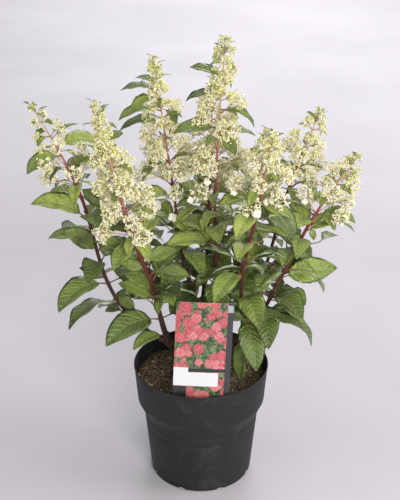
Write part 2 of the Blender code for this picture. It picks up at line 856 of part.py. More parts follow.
def grow_leaves(growth, away, near):
    """The leaves of one leafy shoot: pairs that turn a quarter from one to the next."""
    cane = growth.cane
    rng = random.Random("leaves " + cane.name)
    first = growth.leafy + BARE_FOOT
    last = growth.neck - BARE_NECK
    own = []
    placed = []
    for i in range(cane.pairs):
        share = i / (cane.pairs - 1)
        s = first + (last - first) * share
        length = LEAF_LENGTH_LOW + (LEAF_LENGTH_HIGH - LEAF_LENGTH_LOW) * share
        turn = math.radians(cane.turn + 90.0 * i)
        settings = SET_PAIRS.get(cane.name, {}).get(i, (None, None))
        for wanted in leaf_pair(growth, s, turn, length, LEAF_SLENDERNESS, rng, settings):
            found = place_leaf(wanted, away, near, own)
            if found:
                placed.append(found)
    return placed


def grow_bracts(growth, away, near):
    """The small leaves under the lowest tiers of a cone."""
    cane = growth.cane
    span = growth.path.length - growth.neck
    rng = random.Random("bracts " + cane.name)
    own = []
    placed = []
    for tier, share in enumerate(tier_shares(cane.tiers)[:BRACT_TIERS]):
        s = growth.neck + FIRST_TIER - BRACT_LEAD + (span - FIRST_TIER - BARE_TIP) * share
        length = BRACT_LENGTH_LOW + (BRACT_LENGTH_HIGH - BRACT_LENGTH_LOW) * tier
        turn = math.radians(cane.turn + 90.0 * (cane.pairs + tier))
        for wanted in leaf_pair(growth, s, turn, length, BRACT_SLENDERNESS, rng):
            found = place_leaf(wanted, away, near, own)
            if found:
                placed.append(found)
    return placed


def make_trunk(growths):
    """The old wood: a flared stump, its limbs, a knuckle at each fork and the stub of each cane."""
    rise = Path(
        [
            Vector((0.0, 0.0, SOIL_HEIGHT + GAP)),
            Vector((0.0, 0.0, SOIL_HEIGHT + STUMP_HEIGHT / 2)),
            Vector((0.0, 0.002, SOIL_HEIGHT + STUMP_HEIGHT)),
        ],
        Vector((0.0, 0.0, 1.0)),
        8,
    )

    def stump_radius(s):
        flare = math.exp(-s / ROOT_FLARE_HEIGHT) * (ROOT_FLARE_RADIUS - STUMP_RADIUS)
        return STUMP_RADIUS * (1.0 - 0.25 * s / STUMP_HEIGHT) + flare

    stump = tube("stump", rise, 0.0, rise.length, stump_radius, 3, 4, PLANT)
    additions = bpy.data.collections.new("old wood additions")
    CUTTERS.children.link(additions)
    for limb in LIMBS:
        path = limb_path(limb)

        def limb_radius(s, length=path.length):
            return LIMB_FOOT_RADIUS + (LIMB_TIP_RADIUS - LIMB_FOOT_RADIUS) * s / length

        tube("limb_" + limb.name, path, 0.0, path.length, limb_radius, 1, 3, additions)
        bm = bmesh.new()
        fork = Matrix.Translation(polar(limb.bearing, limb.reach, limb.height))
        bmesh.ops.create_icosphere(bm, subdivisions=1, radius=KNUCKLE_RADIUS, matrix=fork)
        object_from(bm, "knuckle_" + limb.name, additions)
    for growth in growths:
        end = STUB_LENGTH - GAP / 2
        tube("stub_" + growth.cane.name, growth.path, 0.0, end, growth.radius, 1, 2, additions)
    return fused("trunk", stump, additions, material("old_bark", (0.085, 0.045, 0.032), 0.85))


def make_leafy_shoot(growth, stem, leaves, finish):
    """One leafy shoot: its stem with its leaves fused on."""
    additions = bpy.data.collections.new("leaf additions")
    CUTTERS.children.link(additions)
    for i, leaf in enumerate(leaves):
        mesh_object(f"leaf_{i}", *leaf_solid(leaf), additions)
    return fused("leaves_" + growth.cane.name, stem, additions, finish)


def make_cone(growth, rachis, clusters, bracts, finish):
    """One cone of blossom: its rachis with its twigs, clusters and small leaves fused on."""
    additions = bpy.data.collections.new("blossom additions")
    CUTTERS.children.link(additions)
    for i, cluster in enumerate(clusters):
        twig = bmesh.new()
        add_twig(twig, cluster)
        object_from(twig, f"twig_{i}", additions)
        heart = bmesh.new()
        add_heart(heart, cluster)
        object_from(heart, f"cluster_{i}", additions)
    for i, leaf in enumerate(bracts):
        mesh_object(f"bract_{i}", *leaf_solid(leaf), additions)
    return fused("panicle_" + growth.cane.name, rachis, additions, finish)


def make_plant(obstacles):
    """The old wood, canes, leafy shoots and blossom cones, each clear of the others."""
    growths = [Growth(cane) for cane in CANES]
    trunk = make_trunk(growths)
    obstacles.append(tree_of(trunk))
    cane_bark = material("cane_bark", (0.165, 0.042, 0.038), 0.60)
    leaf_green = material("leaf_green", (0.085, 0.190, 0.030), 0.55)
    blossom_cream = material("blossom_cream", (0.680, 0.700, 0.370), 0.75)
    stems = {}
    trees = {}
    for growth in growths:
        name = growth.cane.name
        path = growth.path
        half = GAP / 2
        thick = growth.radius
        cane = tube("cane_" + name, path, STUB_LENGTH + half, growth.leafy - half, thick, 1, 4, PLANT)
        plain_finish(cane, cane_bark)
        shoot = tube("shoot_" + name, path, growth.leafy + half, growth.neck - half, thick, 1, 8, PLANT)
        rachis = tube("rachis_" + name, path, growth.neck + half, path.length, thick, 0, 6, PLANT)
        stems[name] = (shoot, rachis)
        trees[name] = [tree_of(cane), tree_of(shoot), tree_of(rachis)]

    def others(name):
        return [tree for other, found in trees.items() if other != name for tree in found]

    clusters = {}
    for growth in growths:
        name = growth.cane.name
        clusters[name], own = grow_clusters(growth, obstacles + others(name))
        trees[name].extend(own)
    leaves = {}
    bracts = {}
    for growth in growths:
        name = growth.cane.name
        away = obstacles + others(name)
        cane, shoot, rachis = trees[name][:3]
        cluster_trees = trees[name][3:]
        found = grow_bracts(growth, away, [cane, shoot])
        bracts[name] = [leaf for leaf, _ in found]
        own_bracts = [tree for _, tree in found]
        away += cluster_trees + own_bracts + [cane, rachis]
        found = grow_leaves(growth, away, [shoot])
        leaves[name] = [leaf for leaf, _ in found]
        trees[name].extend(own_bracts + [tree for _, tree in found])
    for growth in growths:
        name = growth.cane.name
        shoot, rachis = stems[name]
        make_leafy_shoot(growth, shoot, leaves[name], leaf_green)
        make_cone(growth, rachis, clusters[name], bracts[name], blossom_cream)
        print(name, "leaves", len(leaves[name]), "bracts", len(bracts[name]), "clusters", len(clusters[name]))


clear_scene()
PLANT = new_collection("potted panicle hydrangea")
CUTTERS = new_collection("cutters")
pot_object = make_pot()
soil_object = make_soil()
label_object = make_label()
make_plant([tree_of(pot_object), tree_of(soil_object), tree_of(label_object)])
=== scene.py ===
"""The looks of a panicle hydrangea in its nursery pot.

The canes, leaf pairs and blossom cones grow again here by the rule of the part's source, and go on to finer
twigs, leaflets, buds and florets within the same reach. Metres, +Z up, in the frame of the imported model.
"""

import math
import random
from typing import NamedTuple

import bmesh
import bpy
import numpy as np
from mathutils import Matrix, Vector, noise
from mathutils.geometry import interpolate_bezier


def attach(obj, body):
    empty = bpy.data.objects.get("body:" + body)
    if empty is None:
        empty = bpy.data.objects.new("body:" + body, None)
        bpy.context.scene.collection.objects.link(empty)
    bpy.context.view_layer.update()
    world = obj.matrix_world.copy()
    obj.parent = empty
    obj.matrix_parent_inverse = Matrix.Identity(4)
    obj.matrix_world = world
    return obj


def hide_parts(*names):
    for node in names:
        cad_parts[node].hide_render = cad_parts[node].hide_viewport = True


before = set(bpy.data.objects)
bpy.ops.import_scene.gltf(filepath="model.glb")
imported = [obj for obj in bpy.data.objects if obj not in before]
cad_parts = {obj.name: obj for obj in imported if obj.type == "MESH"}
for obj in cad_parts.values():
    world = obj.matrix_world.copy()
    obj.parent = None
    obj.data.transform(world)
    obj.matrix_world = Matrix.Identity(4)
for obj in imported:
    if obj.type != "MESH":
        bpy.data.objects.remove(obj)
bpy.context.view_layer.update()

UP = Vector((0.0, 0.0, 1.0))
WHITE = (255, 255, 255)

# Pot
POT_HEIGHT = 0.210
RIM_RADIUS = 0.115
COLLAR_FOOT = 0.143
COLLAR_FOOT_RADIUS = 0.1095
SHOULDER_FOOT = 0.124
BODY_TOP_RADIUS = 0.099
BASE_RADIUS = 0.0875
WALL = 0.0018
FLOOR_THICKNESS = 0.0029
POT_STEPS = 128
MOULDING_LINES = (0.1160, 0.0985)
DRAIN_NOTCHES = 8
NOTCH_SIZE = (0.010, 0.012, 0.014, 1.0)

# Soil
SOIL_HEIGHT = 0.188
SOIL_EDGE_DROP = 0.005
SOIL_CLEARANCE = 0.0006
SOIL_RINGS = 64
SOIL_STEPS = 200
SOIL_SETTLED = 0.0012
SOIL_FLAT = 0.040
SOIL_FALL = 0.070
SOIL_LUMP = 0.0024
LARGE_CHIP = (-0.094, -0.040)

# Label
CARD_WIDTH = 0.092
CARD_TOP = 0.371
CARD_FOOT = 0.196
CARD_TALL = CARD_TOP - CARD_FOOT
CARD_THICKNESS = 0.0010
CARD_CORNER = 0.003
CARD_STRIPS = 12
CARD_BOW = 0.0013
CARD_CENTRE_X = 0.003
CARD_FRONT_Y = -0.1005
CARD_LEAN = math.radians(5.0)
CARD_TILT = math.radians(-2.6)
STAKE_WIDTH = (0.030, 0.008)
STAKE_DEPTH = 0.045

# Old wood
STUMP_HEIGHT = 0.040
STUMP_RADIUS = 0.0125
ROOT_FLARE_RADIUS = 0.0205
ROOT_FLARE_HEIGHT = 0.007
LIMB_RADIUS = (0.0085, 0.0062)
KNUCKLE_RADIUS = 0.0086
LIMB_FOOT_SHARE = 0.55
LIMB_SAG_SHARE = 0.10
STUB_LENGTH = 0.021
STUB_STOUTNESS = 1.12
STUMP_SUNK = 0.002
STUMP_TAPER = 0.25
WOOD_SIDES = 20
WOOD_RINGS = 14
WOOD_STEPS = 8
BARK_VOXEL = 0.0013
BARK_RIDGE = 0.0005
BARK_BURL = 0.0007
RIDGE_SCALE = Vector((330.0, 330.0, 90.0))
BURL_SCALE = 75.0

# Canes: radii at foot and neck, then at neck and tip
CANE_RADIUS = (0.0045, 0.0032)
CONE_RADIUS = (0.0032, 0.0011)

# Leaves. Where a length has two values, they are those of the lowest and the highest leaves of a cane
LEAF_LENGTH = (0.097, 0.070)
LEAF_SLENDERNESS = 0.52
BRACT_LENGTH = (0.060, 0.042)
BRACT_SLENDERNESS = 0.42
BRACT_TIERS = 2
BARE_FOOT = 0.012
BARE_NECK = 0.014
LEAF_SPREAD = (0.90, 1.08)
LEAF_STRAY = 0.16
LEAF_LIFT = (14.0, 38.0)
LEAF_DROOP = (56.0, 100.0)
LEAF_ROLL = 0.45
LEAF_SUNK = 0.2
PETIOLE_SHARE = 0.16
PETIOLE_RADIUS = 0.0012
PETIOLE_TAPER = (1.25, 0.8)
PETIOLE_OVERLAP = 0.03
STOUT_LEAF = 0.070
LEAF_FOLD = math.radians(22.0)
BELLY_PLACE = 0.80
BELLY_FULLNESS = 0.86

# Blossom cones. The two cluster radii are those at the foot and the tip of a cone
FIRST_TIER = 0.010
BRACT_LEAD = 0.004
BARE_TIP = 0.012
TIER_CROWDING = 1.18
TIER_TURN = math.radians(61.0)
TIER_TWIGS = 3
HIGH_TIER_TWIGS = 2
HIGH_TIERS_FROM = 3
CLUSTER_RADIUS = (0.0205, 0.0120)
CLUSTER_FLATNESS = 0.82
CLUSTER_SPREAD = (0.85, 1.10)
CONE_HALF_WIDTH = 0.034
CONE_TIP_WIDTH = 0.006
CONE_TAPER = 0.75
TWIG_STRAY = 0.25
TWIG_RISE = (0.45, 0.85)
TWIG_REACH = (0.88, 1.08)
TWIG_SUNK = 0.3


class Limb(NamedTuple):
    """A limb of the old wood: where it forks, and how steeply it leaves the stump."""

    name: str
    bearing: float
    reach: float
    height: float
    spring: float


class Cane(NamedTuple):
    """A cane: the limb that bears it, and the reach and height of its knee, neck and tip."""

    name: str
    limb: str
    bearing: float
    spring: float
    knee: tuple
    neck: tuple
    tip: tuple
    stout: float
    first_pair: float
    pairs: int
    turn: float
    tiers: int


LIMBS = (
    Limb("left", 196.0, 0.055, 0.255, 38.0),
    Limb("right", -2.0, 0.074, 0.270, 42.0),
    Limb("middle", 60.0, 0.016, 0.268, 78.0),
    Limb("back", 92.0, 0.056, 0.262, 48.0),
)

CANES = [Cane(*row) for row in (
    ("left", "left", 180, 22, (0.143, 0.335), (0.195, 0.527), (0.262, 0.668), 1.00, 0.26, 6, 90, 5),
    ("front_left", "left", -149, 58, (0.091, 0.381), (0.122, 0.468), (0.180, 0.702), 1.15, 0.14, 5, 20, 6),
    ("middle_left", "middle", 128, 66, (0.048, 0.385), (0.074, 0.503), (0.124, 0.716), 0.95, 0.08, 5, 45, 6),
    ("centre", "middle", 30, 74, (0.028, 0.380), (0.026, 0.505), (0.043, 0.767), 0.95, 0.24, 5, 0, 6),
    ("front_right", "right", -42, 60, (0.088, 0.400), (0.117, 0.528), (0.143, 0.659), 0.95, 0.06, 5, 60, 4),
    ("middle_right", "right", 25, 50, (0.127, 0.385), (0.158, 0.495), (0.216, 0.631), 0.90, 0.24, 4, 30, 4),
    ("right", "right", 0, 36, (0.132, 0.372), (0.180, 0.478), (0.248, 0.586), 1.00, 0.07, 7, 80, 4),
    ("back", "back", 84, 62, (0.092, 0.370), (0.136, 0.470), (0.198, 0.650), 0.95, 0.20, 5, 10, 5),
    ("back_left", "left", 148, 42, (0.104, 0.340), (0.148, 0.445), (0.200, 0.598), 0.90, 0.24, 4, 70, 4),
    ("back_right", "back", 56, 44, (0.122, 0.345), (0.156, 0.430), (0.204, 0.570), 0.90, 0.22, 4, 35, 4),
)]

# Leaf pairs that are set one by one: bearing, lift and droop in degrees, and share of the usual length. Where
# only one leaf of a pair is given, the other stands opposite it
SET_PAIRS = {
    "left": {
        0: ((225, 25, 75, 1.00),),
        1: ((220, 20, 80, 1.00),),
        2: ((260, 30, 70, 0.85), (75, 10, 75, 1.00)),
        3: ((130, 20, 70, 1.00),),
        4: ((190, 45, 60, 1.12), (285, 45, 75, 1.00)),
    },
    "front_left": {
        0: ((220, 20, 65, 1.00),),
        1: ((135, 20, 70, 1.00), (295, 45, 35, 1.00)),
        2: ((170, 45, 75, 0.78), (60, 45, 55, 1.00)),
        3: ((190, 45, 30, 1.00), (110, 20, 75, 1.00)),
        4: ((65, 40, 70, 1.08),),
    },
    "middle_left": {1: ((245, 40, 60, 1.00),), 2: ((265, 40, 70, 1.00),)},
    "centre": {0: ((110, 5, 80, 1.00),), 1: ((105, 25, 65, 1.05), (60, 30, 65, 0.85))},
    "front_right": {
        0: ((265, -15, 70, 0.92),),
        1: ((105, 10, 75, 1.00),),
        3: ((65, -5, 75, 1.00), (255, 35, 70, 0.85)),
        4: ((245, 25, 70, 1.00),),
    },
    "right": {
        0: ((275, 20, 80, 0.86), (0, -10, 70, 1.00)),
        1: ((300, 30, 65, 0.92), (125, 5, 80, 1.00)),
        2: ((245, 45, 60, 1.00),),
        3: ((20, 20, 65, 1.00),),
        4: ((255, 40, 70, 1.00),),
        5: ((155, 20, 85, 1.00), (260, 35, 75, 1.00)),
        6: ((25, 25, 70, 1.00), (245, 45, 70, 1.00)),
    },
}
OPPOSITE = (24, 74, 0.95)

# How a leaf turns aside from a neighbour: degrees added to azimuth and lift, and share of its length
LEAF_TRIES = (
    (0, 0, 1.00),
    (18, 8, 1.00),
    (-18, -8, 1.00),
    (30, -18, 0.92),
    (-30, 18, 0.92),
    (12, 30, 0.84),
    (-12, -30, 0.84),
    (40, 20, 0.74),
    (-40, -20, 0.74),
)

# Which of those tries each leaf of a cane settles on, from the foot up. A dash is a leaf that found no room
LEAF_TURNS = {
    "left": "020200000002",
    "front_left": "0250000000",
    "middle_left": "5201300000",
    "centre": "4220010030",
    "front_right": "1340001000",
    "middle_right": "70110400",
    "right": "00070465010020",
    "back": "2212330004",
    "back_left": "-0400300",
    "back_right": "-0330-00",
}

# Leaves of the pairs that turn their face to the front: number from the foot of the cane, and roll in degrees
SET_ROLLS = {"front_left": {0: -26}}

# The one cluster of a cone that its neighbours crowd out, by its number from the foot
CROWDED_OUT = {"centre": 0, "right": 5}

# Leaves of short side shoots, set one by one: place along the cane, bearing, lift, droop and roll in degrees,
# length in millimetres and tone of green
SET_SPRAYS = {
    "left": (
        (0.805, 210, 8, 65, -26, 56, 2),
        (0.715, 95, 48, 50, 3, 42, 1),
        (0.838, 25, 18, 70, 23, 72, 3),
        (0.872, 25, 38, 40, 3, 42, 2),
        (0.685, -20, -14, 60, 56, 44, 1),
        (0.560, 90, 28, 30, -24, 38, 3),
        (0.895, 165, 12, 60, -40, 20, 2),
        (0.442, 200, 54, 40, -74, 62, 1),
        (0.323, 185, 50, 45, -65, 46, 0),
        (0.265, -30, -6, 50, 47, 40, 1),
    ),
    "front_left": (
        (0.863, 35, 30, 40, 34, 28, 1),
        (0.208, 165, 38, 35, -18, 62, 2),
        (0.050, 215, 18, 60, -6, 58, 2),
        (0.503, 240, -14, 50, -32, 26, 1),
        (0.343, 170, 34, 40, -61, 44, 2),
        (0.385, 20, 28, 35, 40, 52, 2),
    ),
    "middle_left": (
        (0.815, 190, 14, 60, -4, 64, 2),
        (0.775, 180, 8, 50, -5, 66, 0),
        (0.823, 0, -22, 80, 32, 34, 1),
        (0.863, 205, 4, 40, -25, 44, 3),
        (0.885, 175, 16, 40, 0, 54, 1),
        (0.912, 165, 24, 40, -20, 32, 2),
        (0.640, 215, -6, 60, 10, 58, 3),
    ),
    "centre": (
        (0.717, 190, 12, 40, -28, 64, 1),
        (0.877, 160, 28, 40, -5, 48, 1),
        (0.825, 195, 14, 50, -6, 50, 0),
        (0.777, -5, 2, 70, 6, 56, 1),
        (0.702, 5, 10, 40, 11, 52, 1),
        (0.688, -40, -2, 70, 49, 38, 2),
        (0.310, 160, 38, 35, -16, 80, 3),
        (0.458, 240, -14, 70, 19, 48, 3),
        (0.230, 215, -8, 60, -47, 42, 1),
        (0.645, 220, -4, 50, -9, 36, 1),
    ),
    "front_right": ((0.703, -15, -24, 60, 67, 72, 0), (0.557, 200, 4, 45, -59, 38, 1)),
    "middle_right": (
        (0.593, -20, -26, 60, 35, 30, 2),
        (0.760, 0, 4, 50, 13, 38, 1),
        (0.595, 235, -14, 50, 1, 48, 1),
    ),
    "right": (
        (0.320, 5, 20, 25, 62, 84, 2),
        (0.315, 190, -10, 40, 74, 42, 1),
        (0.203, -20, -4, 75, 12, 66, 1),
        (0.105, -30, -6, 50, 52, 32, 0),
        (0.522, -50, -12, 50, 42, 28, 0),
        (0.610, -50, -38, 60, 42, 22, 3),
        (0.573, 15, 28, 40, 15, 68, 3),
        (0.175, 180, 32, 45, -29, 62, 1),
        (0.012, 257, -24, 78, 49, 84, 1),
    ),
}

# Bright low clusters set one by one: place along the cane, bearing and lift in degrees, reach and radius in
# millimetres, then the bearing, lift, reach and size of each sterile floret round them
SET_CLUSTERS = {
    "middle_left": (
        0.497, -87, 38, 38, 14, ((-161, -29, 35, 9.5), (-106, -71, 39, 8.0), (-10, -17, 24, 6.5)),
    ),
    "centre": (0.454, -131, 45, 48, 15, ((-153, -26, 20, 6.0), (-40, 59, 24, 6.0))),
    "front_right": (
        0.638, -121, 48, 31, 16, ((-162, -29, 22, 8.0), (-44, -21, 15, 7.0), (-5, 21, 26, 6.0)),
    ),
}

# How full the clusters of a cone are at its foot and its tip, the share of half-way sprays that it bears and
# their reach, where they aren't the usual 1, and the share of the places on its cane that bear leafy shoots
FULLNESS = {
    "left": (0.72, 0.84), "middle_left": (0.95, 1.10), "centre": (0.95, 1.45), "front_right": (0.70, 0.92),
    "right": (0.76, 0.96), "back": (0.90, 0.95), "back_left": (0.90, 0.95), "back_right": (0.90, 0.95),
}
SPRAYS = {"left": 0.0, "front_left": 0.8, "front_right": 0.4, "right": 0.5, "middle_right": 0.6}
SPRAY_REACH = {"centre": 1.55}
SHOOTS = {
    "left": 0.22, "front_left": 0.42, "middle_left": 0.38, "centre": 0.34, "front_right": 0.30,
    "middle_right": 0.34, "right": 0.24, "back": 0.42, "back_left": 0.50, "back_right": 0.44,
}

# How early the skin of a cane turns from maroon to red, where it isn't the usual 1
YOUTH = {"left": 0.35, "middle_right": 0.5, "middle_left": 0.7}

# Finer leaves, which only these looks have
VEINS = 9
VEIN_SLANT = 0.42
RUNGS = 7.0
LEAF_BODY = 0.006
TOOTH = 0.040
LEAF_TWIST = 0.35
LEAF_SWEEP = 0.05
LEAF_RIPPLE = (0.010, 0.026)
BLADE_BREADTH = 1.03
GREEN_STRAY = 0.45
GREEN_STEPS = (0.12, 0.48, 0.86)
BRACT_PLACE = 0.75
LIME_LEAFLETS = 0.6
SHOOT_LENGTH = (0.014, 0.040)
SHOOT_RADII = (0.0013, 0.0009)
SHOOT_FORKS = (2, 3, 3, 4)
SHOOT_FAN = 1.2
SHOOT_STRAY = 0.3
SHOOT_RISE = (0.3, 0.9)
SHOOT_OUT = 0.8
SHOOT_LEAF_STRAY = 0.5
SHOOT_PLACE = 0.4
SHOOT_FREE = STUB_LENGTH + 0.010
LATER_LEAF = 0.85
FORK_PLACES = (0.98, 0.98, 0.55, 0.55)
FACING_FRONT = -0.35
FRONT_THINNING = 0.70
SHOOT_LEAF = (0.040, 0.068)
SHOOT_LIFT = (5.0, 40.0)
SHOOT_DROOP = (30.0, 75.0)
SHOOT_SLENDERNESS = (0.54, 0.62)
SHOOT_PETIOLE = 0.12
SPRAY_SLENDERNESS = 0.54
SPRAY_PETIOLE = 0.14
LARGE_LEAF = 0.050
LEAFLET_LENGTH = (0.044, 0.019)
LEAFLET_SLENDERNESS = 0.42
LEAFLET_TURN = 55.0
TIP_LEAFLETS = 8
TIP_LEAFLET_START = 0.002
TIP_LEAFLET_STEP = 0.0035
TIP_LEAFLET_LENGTH = 0.012
TIP_LEAFLET_GROWTH = 0.0013
TIP_LEAFLET_LIFT = math.radians(55.0)
TIP_LEAFLET_DROOP = math.radians(60.0)
TIP_LEAFLET_SLENDERNESS = 0.34

# Finer stems and blossom
NODE_SWELL = 0.20
NODE_LENGTH = 0.0032
STEM_SIDES = 14
STEM_RING = 0.0030
STEM_START = 0.6
TIER_SWELL = 0.12
STUB_SWELL = (STUB_LENGTH * 0.8, 0.25)
SLIMMING = 2.5
NECK_AGE = 0.62
SLIMNESS = (0.80, 0.68)
BRANCHLETS = 20
FEWEST_BRANCHLETS = 5
BRANCHLET_CROWDING = 1.1
BRANCHLET_FORK = (0.45, 0.90)
BRANCHLET_REACH = (0.45, 0.86)
DOME_DEPTH = 1.55
ROSY_SHARE = 0.12
CYME_FORK = 0.72
CYME_STALKS = 4
CYME_REACH = (0.30, 1.00)
CYME_BUDS = (4, 4, 4, 5)
CYME_SIZE = 0.30
CYME_STRAY = 1.10
BUD_RADIUS = (0.00148, 0.00112)
BUD_REACH = (1.0, 2.9)
BUD_SPREAD = (0.66, 1.18)
BUD_STRAY = 1.2
BUD_TURNS = 24
TONE_SHARE = 0.8
TONE_STRAY = 0.50
TONE_STEPS = (0.36, 0.86, 1.20)
OPEN_SHARE = 0.22
STERILE_CHANCE = 0.45
STERILE_BELOW = 0.20
STERILE_REACH = 1.08
STERILE_SPREAD = (0.75, 1.05)
SEPAL_LENGTH = 0.0066
SEPALS = 4
SET_CLUSTER_PLACE = -0.25
SET_CLUSTER_FULLNESS = 0.9
HALF_WAY_SIZE = 0.56
HALF_WAY_TWIGS = 3
HALF_WAY_STRAY = 0.4
HALF_WAY_PLACE = 0.10
HALF_WAY_END = 0.004
HALF_WAY_REACH = (0.35, 0.60)
HALF_WAY_RISE = (0.3, 0.8)
TIP_THINNING = 0.40
TIP_GATHERING = 0.42
GOLDEN_TURN = math.pi * (3.0 - math.sqrt(5.0))

# Foot and tip radii of the fine twigs
CLUSTER_TWIG = (0.00105, 0.00065)
BRANCHLET_TWIG = (0.00058, 0.00038)
BUD_TWIG = (0.00036, 0.00028)
STERILE_TWIG = (0.00045, 0.00035)
SET_STERILE_TWIG = (0.00050, 0.00040)

# Numbers of the finishes in a piece's own list
UNDERSIDE = 4
PETIOLE = 5
TWIG = 0
SPRIG = 1
STERILE = 4
BUD_TONES = 4


# Finishes


class Wire:
    """A shader value. Sums and products of it add their Math nodes."""

    def __init__(self, finish, socket):
        self.finish = finish
        self.socket = socket

    def math(self, operation, *values):
        return self.finish.node("Math", {"operation": operation}, dict(enumerate(values)))

    def __add__(self, other):
        return self.math("ADD", self, other)

    def __sub__(self, other):
        return self.math("SUBTRACT", self, other)

    def __rsub__(self, other):
        return self.math("SUBTRACT", other, self)

    def __mul__(self, other):
        return self.math("MULTIPLY", self, other)

    __radd__ = __add__
    __rmul__ = __mul__

    def size(self):
        return self.math("ABSOLUTE", self)

    def or_more(self, other):
        return self.math("MAXIMUM", self, other)

    def bands(self):
        """1 where the value is whole, down to 0 half-way between."""
        return (self.math("FRACT", self) - 0.5).size() * 2.0

    def over(self, low, high):
        """0 below low, 1 above high, and smooth between them."""
        inputs = {"Value": self, "From Min": low, "From Max": high}
        return self.finish.node("MapRange", {"interpolation_type": "SMOOTHSTEP"}, inputs)


class Finish:
    """A finish built round one Principled shader, with the values that are the same all over set on it."""

    def __init__(self, name, **values):
        self.material = bpy.data.materials.new(name)
        self.material.use_nodes = True
        self.tree = self.material.node_tree
        self.shader = self.tree.nodes["Principled BSDF"]
        for socket, value in values.items():
            self.shader.inputs[socket.replace("_", " ")].default_value = value

    def node(self, kind, settings, inputs, output=0):
        """Adds a node: its settings first, then the values or links of its sockets."""
        made = self.tree.nodes.new("ShaderNode" + kind)
        for setting, value in settings.items():
            if setting == "stops":
                ramp = made.color_ramp
                while len(ramp.elements) < len(value):
                    ramp.elements.new(1.0)
                for stop, (place, colour) in zip(ramp.elements, value):
                    stop.position = place
                    stop.color = linear(colour)
            else:
                setattr(made, setting, value)
        for socket, value in inputs.items():
            if isinstance(value, Wire):
                self.tree.links.new(value.socket, made.inputs[socket])
            else:
                made.inputs[socket].default_value = value
        return Wire(self, made.outputs[output])

    def feed(self, **wires):
        """Links values or colours to the shader's own sockets."""
        for socket, wire in wires.items():
            self.tree.links.new(wire.socket, self.shader.inputs[socket.replace("_", " ")])

    def place(self):
        """Where a point lies on the object."""
        return self.node("TexCoord", {}, {}, "Object")

    def drawn_up(self, rise):
        """Where a point lies, with its heights scaled so that patterns are drawn out upwards."""
        return self.node("Mapping", {}, {"Vector": self.place(), "Scale": (1.0, 1.0, rise)})

    def grain(self):
        """A piece's own map, split into its two directions."""
        spot = self.node("UVMap", {"uv_map": "grain"}, {})
        return [self.node("SeparateXYZ", {}, {0: spot}, way) for way in "XY"]

    def cloud(self, scale, detail=3.0, roughness=0.55, spot=None):
        """Soft noise of some scale per metre."""
        inputs = {"Vector": spot or self.place(), "Scale": scale, "Detail": detail, "Roughness": roughness}
        return self.node("TexNoise", {}, inputs)

    def cells(self, scale, spot=None, feature="F1", output="Distance", stray=1.0):
        """Distances or colours of scattered cells."""
        inputs = {"Vector": spot or self.place(), "Scale": scale, "Randomness": stray}
        return self.node("TexVoronoi", {"feature": feature}, inputs, output)

    def ramp(self, value, *stops):
        """A run of colours along a value."""
        return self.node("ValToRGB", {"stops": stops}, {0: value})

    def mix(self, share, first, second):
        """One colour over another by a share."""
        first, second = (c if isinstance(c, Wire) else linear(c) for c in (first, second))
        return self.node("Mix", {"data_type": "RGBA"}, {0: share, 6: first, 7: second}, 2)

    def bump(self, height, depth, strength, under=None):
        """A relief of so many metres' depth."""
        inputs = {"Height": height, "Distance": depth, "Strength": strength}
        if under:
            inputs["Normal"] = under
        return self.node("Bump", {}, inputs)


def linear(colour):
    """A colour of 0 to 255 as the eye sees it, in the renderer's own values."""
    shares = [channel / 255.0 for channel in colour]
    return (*[s / 12.92 if s <= 0.04045 else ((s + 0.055) / 1.055) ** 2.4 for s in shares], 1.0)


def pot_plastic():
    """Matte charcoal nursery plastic, lightly scuffed and dusty, its surface faintly uneven."""
    finish = Finish("pot_plastic", Specular_IOR_Level=0.38)
    scuffs = finish.cloud(34.0, 5.0, 0.7).over(0.50, 0.72)
    dust = finish.cloud(9.0, 4.0).over(0.42, 0.75)
    body = finish.mix(dust * 0.55, (29, 28, 31), (44, 43, 47))
    finish.feed(Base_Color=finish.mix(scuffs * 0.28, body, (84, 83, 86)))
    finish.feed(Roughness=0.56 + 0.14 * dust + 0.10 * scuffs)
    grit = finish.bump(finish.cloud(900.0, 2.0), 0.00016, 0.5)
    finish.feed(Normal=finish.bump(finish.cloud(60.0, 3.0), 0.0007, 0.55, grit))
    return finish.material


def potting_soil():
    """Dark crumbly compost with lighter fibres and grains."""
    finish = Finish("potting_soil", Roughness=0.95, Specular_IOR_Level=0.25)
    lumps = finish.cloud(170.0, 5.0, 0.7)
    body = finish.ramp(lumps, (0.30, (46, 36, 28)), (0.50, (88, 72, 57)), (0.68, (132, 112, 90)))
    grains = finish.cells(520.0).over(0.30, 0.16) * finish.cloud(240.0).over(0.56, 0.66)
    finish.feed(Base_Color=finish.mix(grains * 0.7, body, (122, 104, 78)))
    rough = finish.bump(finish.cells(420.0), 0.0012, 0.8)
    finish.feed(Normal=finish.bump(lumps, 0.003, 0.7, rough))
    return finish.material


def mottled(name, shade, tone, drift, span, grit, depth, strength, **values):
    """A skin that drifts between two colours over fine grit, each given by its scale and detail."""
    finish = Finish(name, **values)
    finish.feed(Base_Color=finish.mix(finish.cloud(*drift).over(*span), shade, tone))
    finish.feed(Normal=finish.bump(finish.cloud(*grit), depth, strength))
    return finish.material


def crumb(name, dark, light):
    """A grain of compost, bark or pumice."""
    grit = (900.0, 3.0)
    return mottled(
        name, dark, light, grit, (0.35, 0.65), grit, 0.0006, 0.8, Roughness=0.9, Specular_IOR_Level=0.25
    )


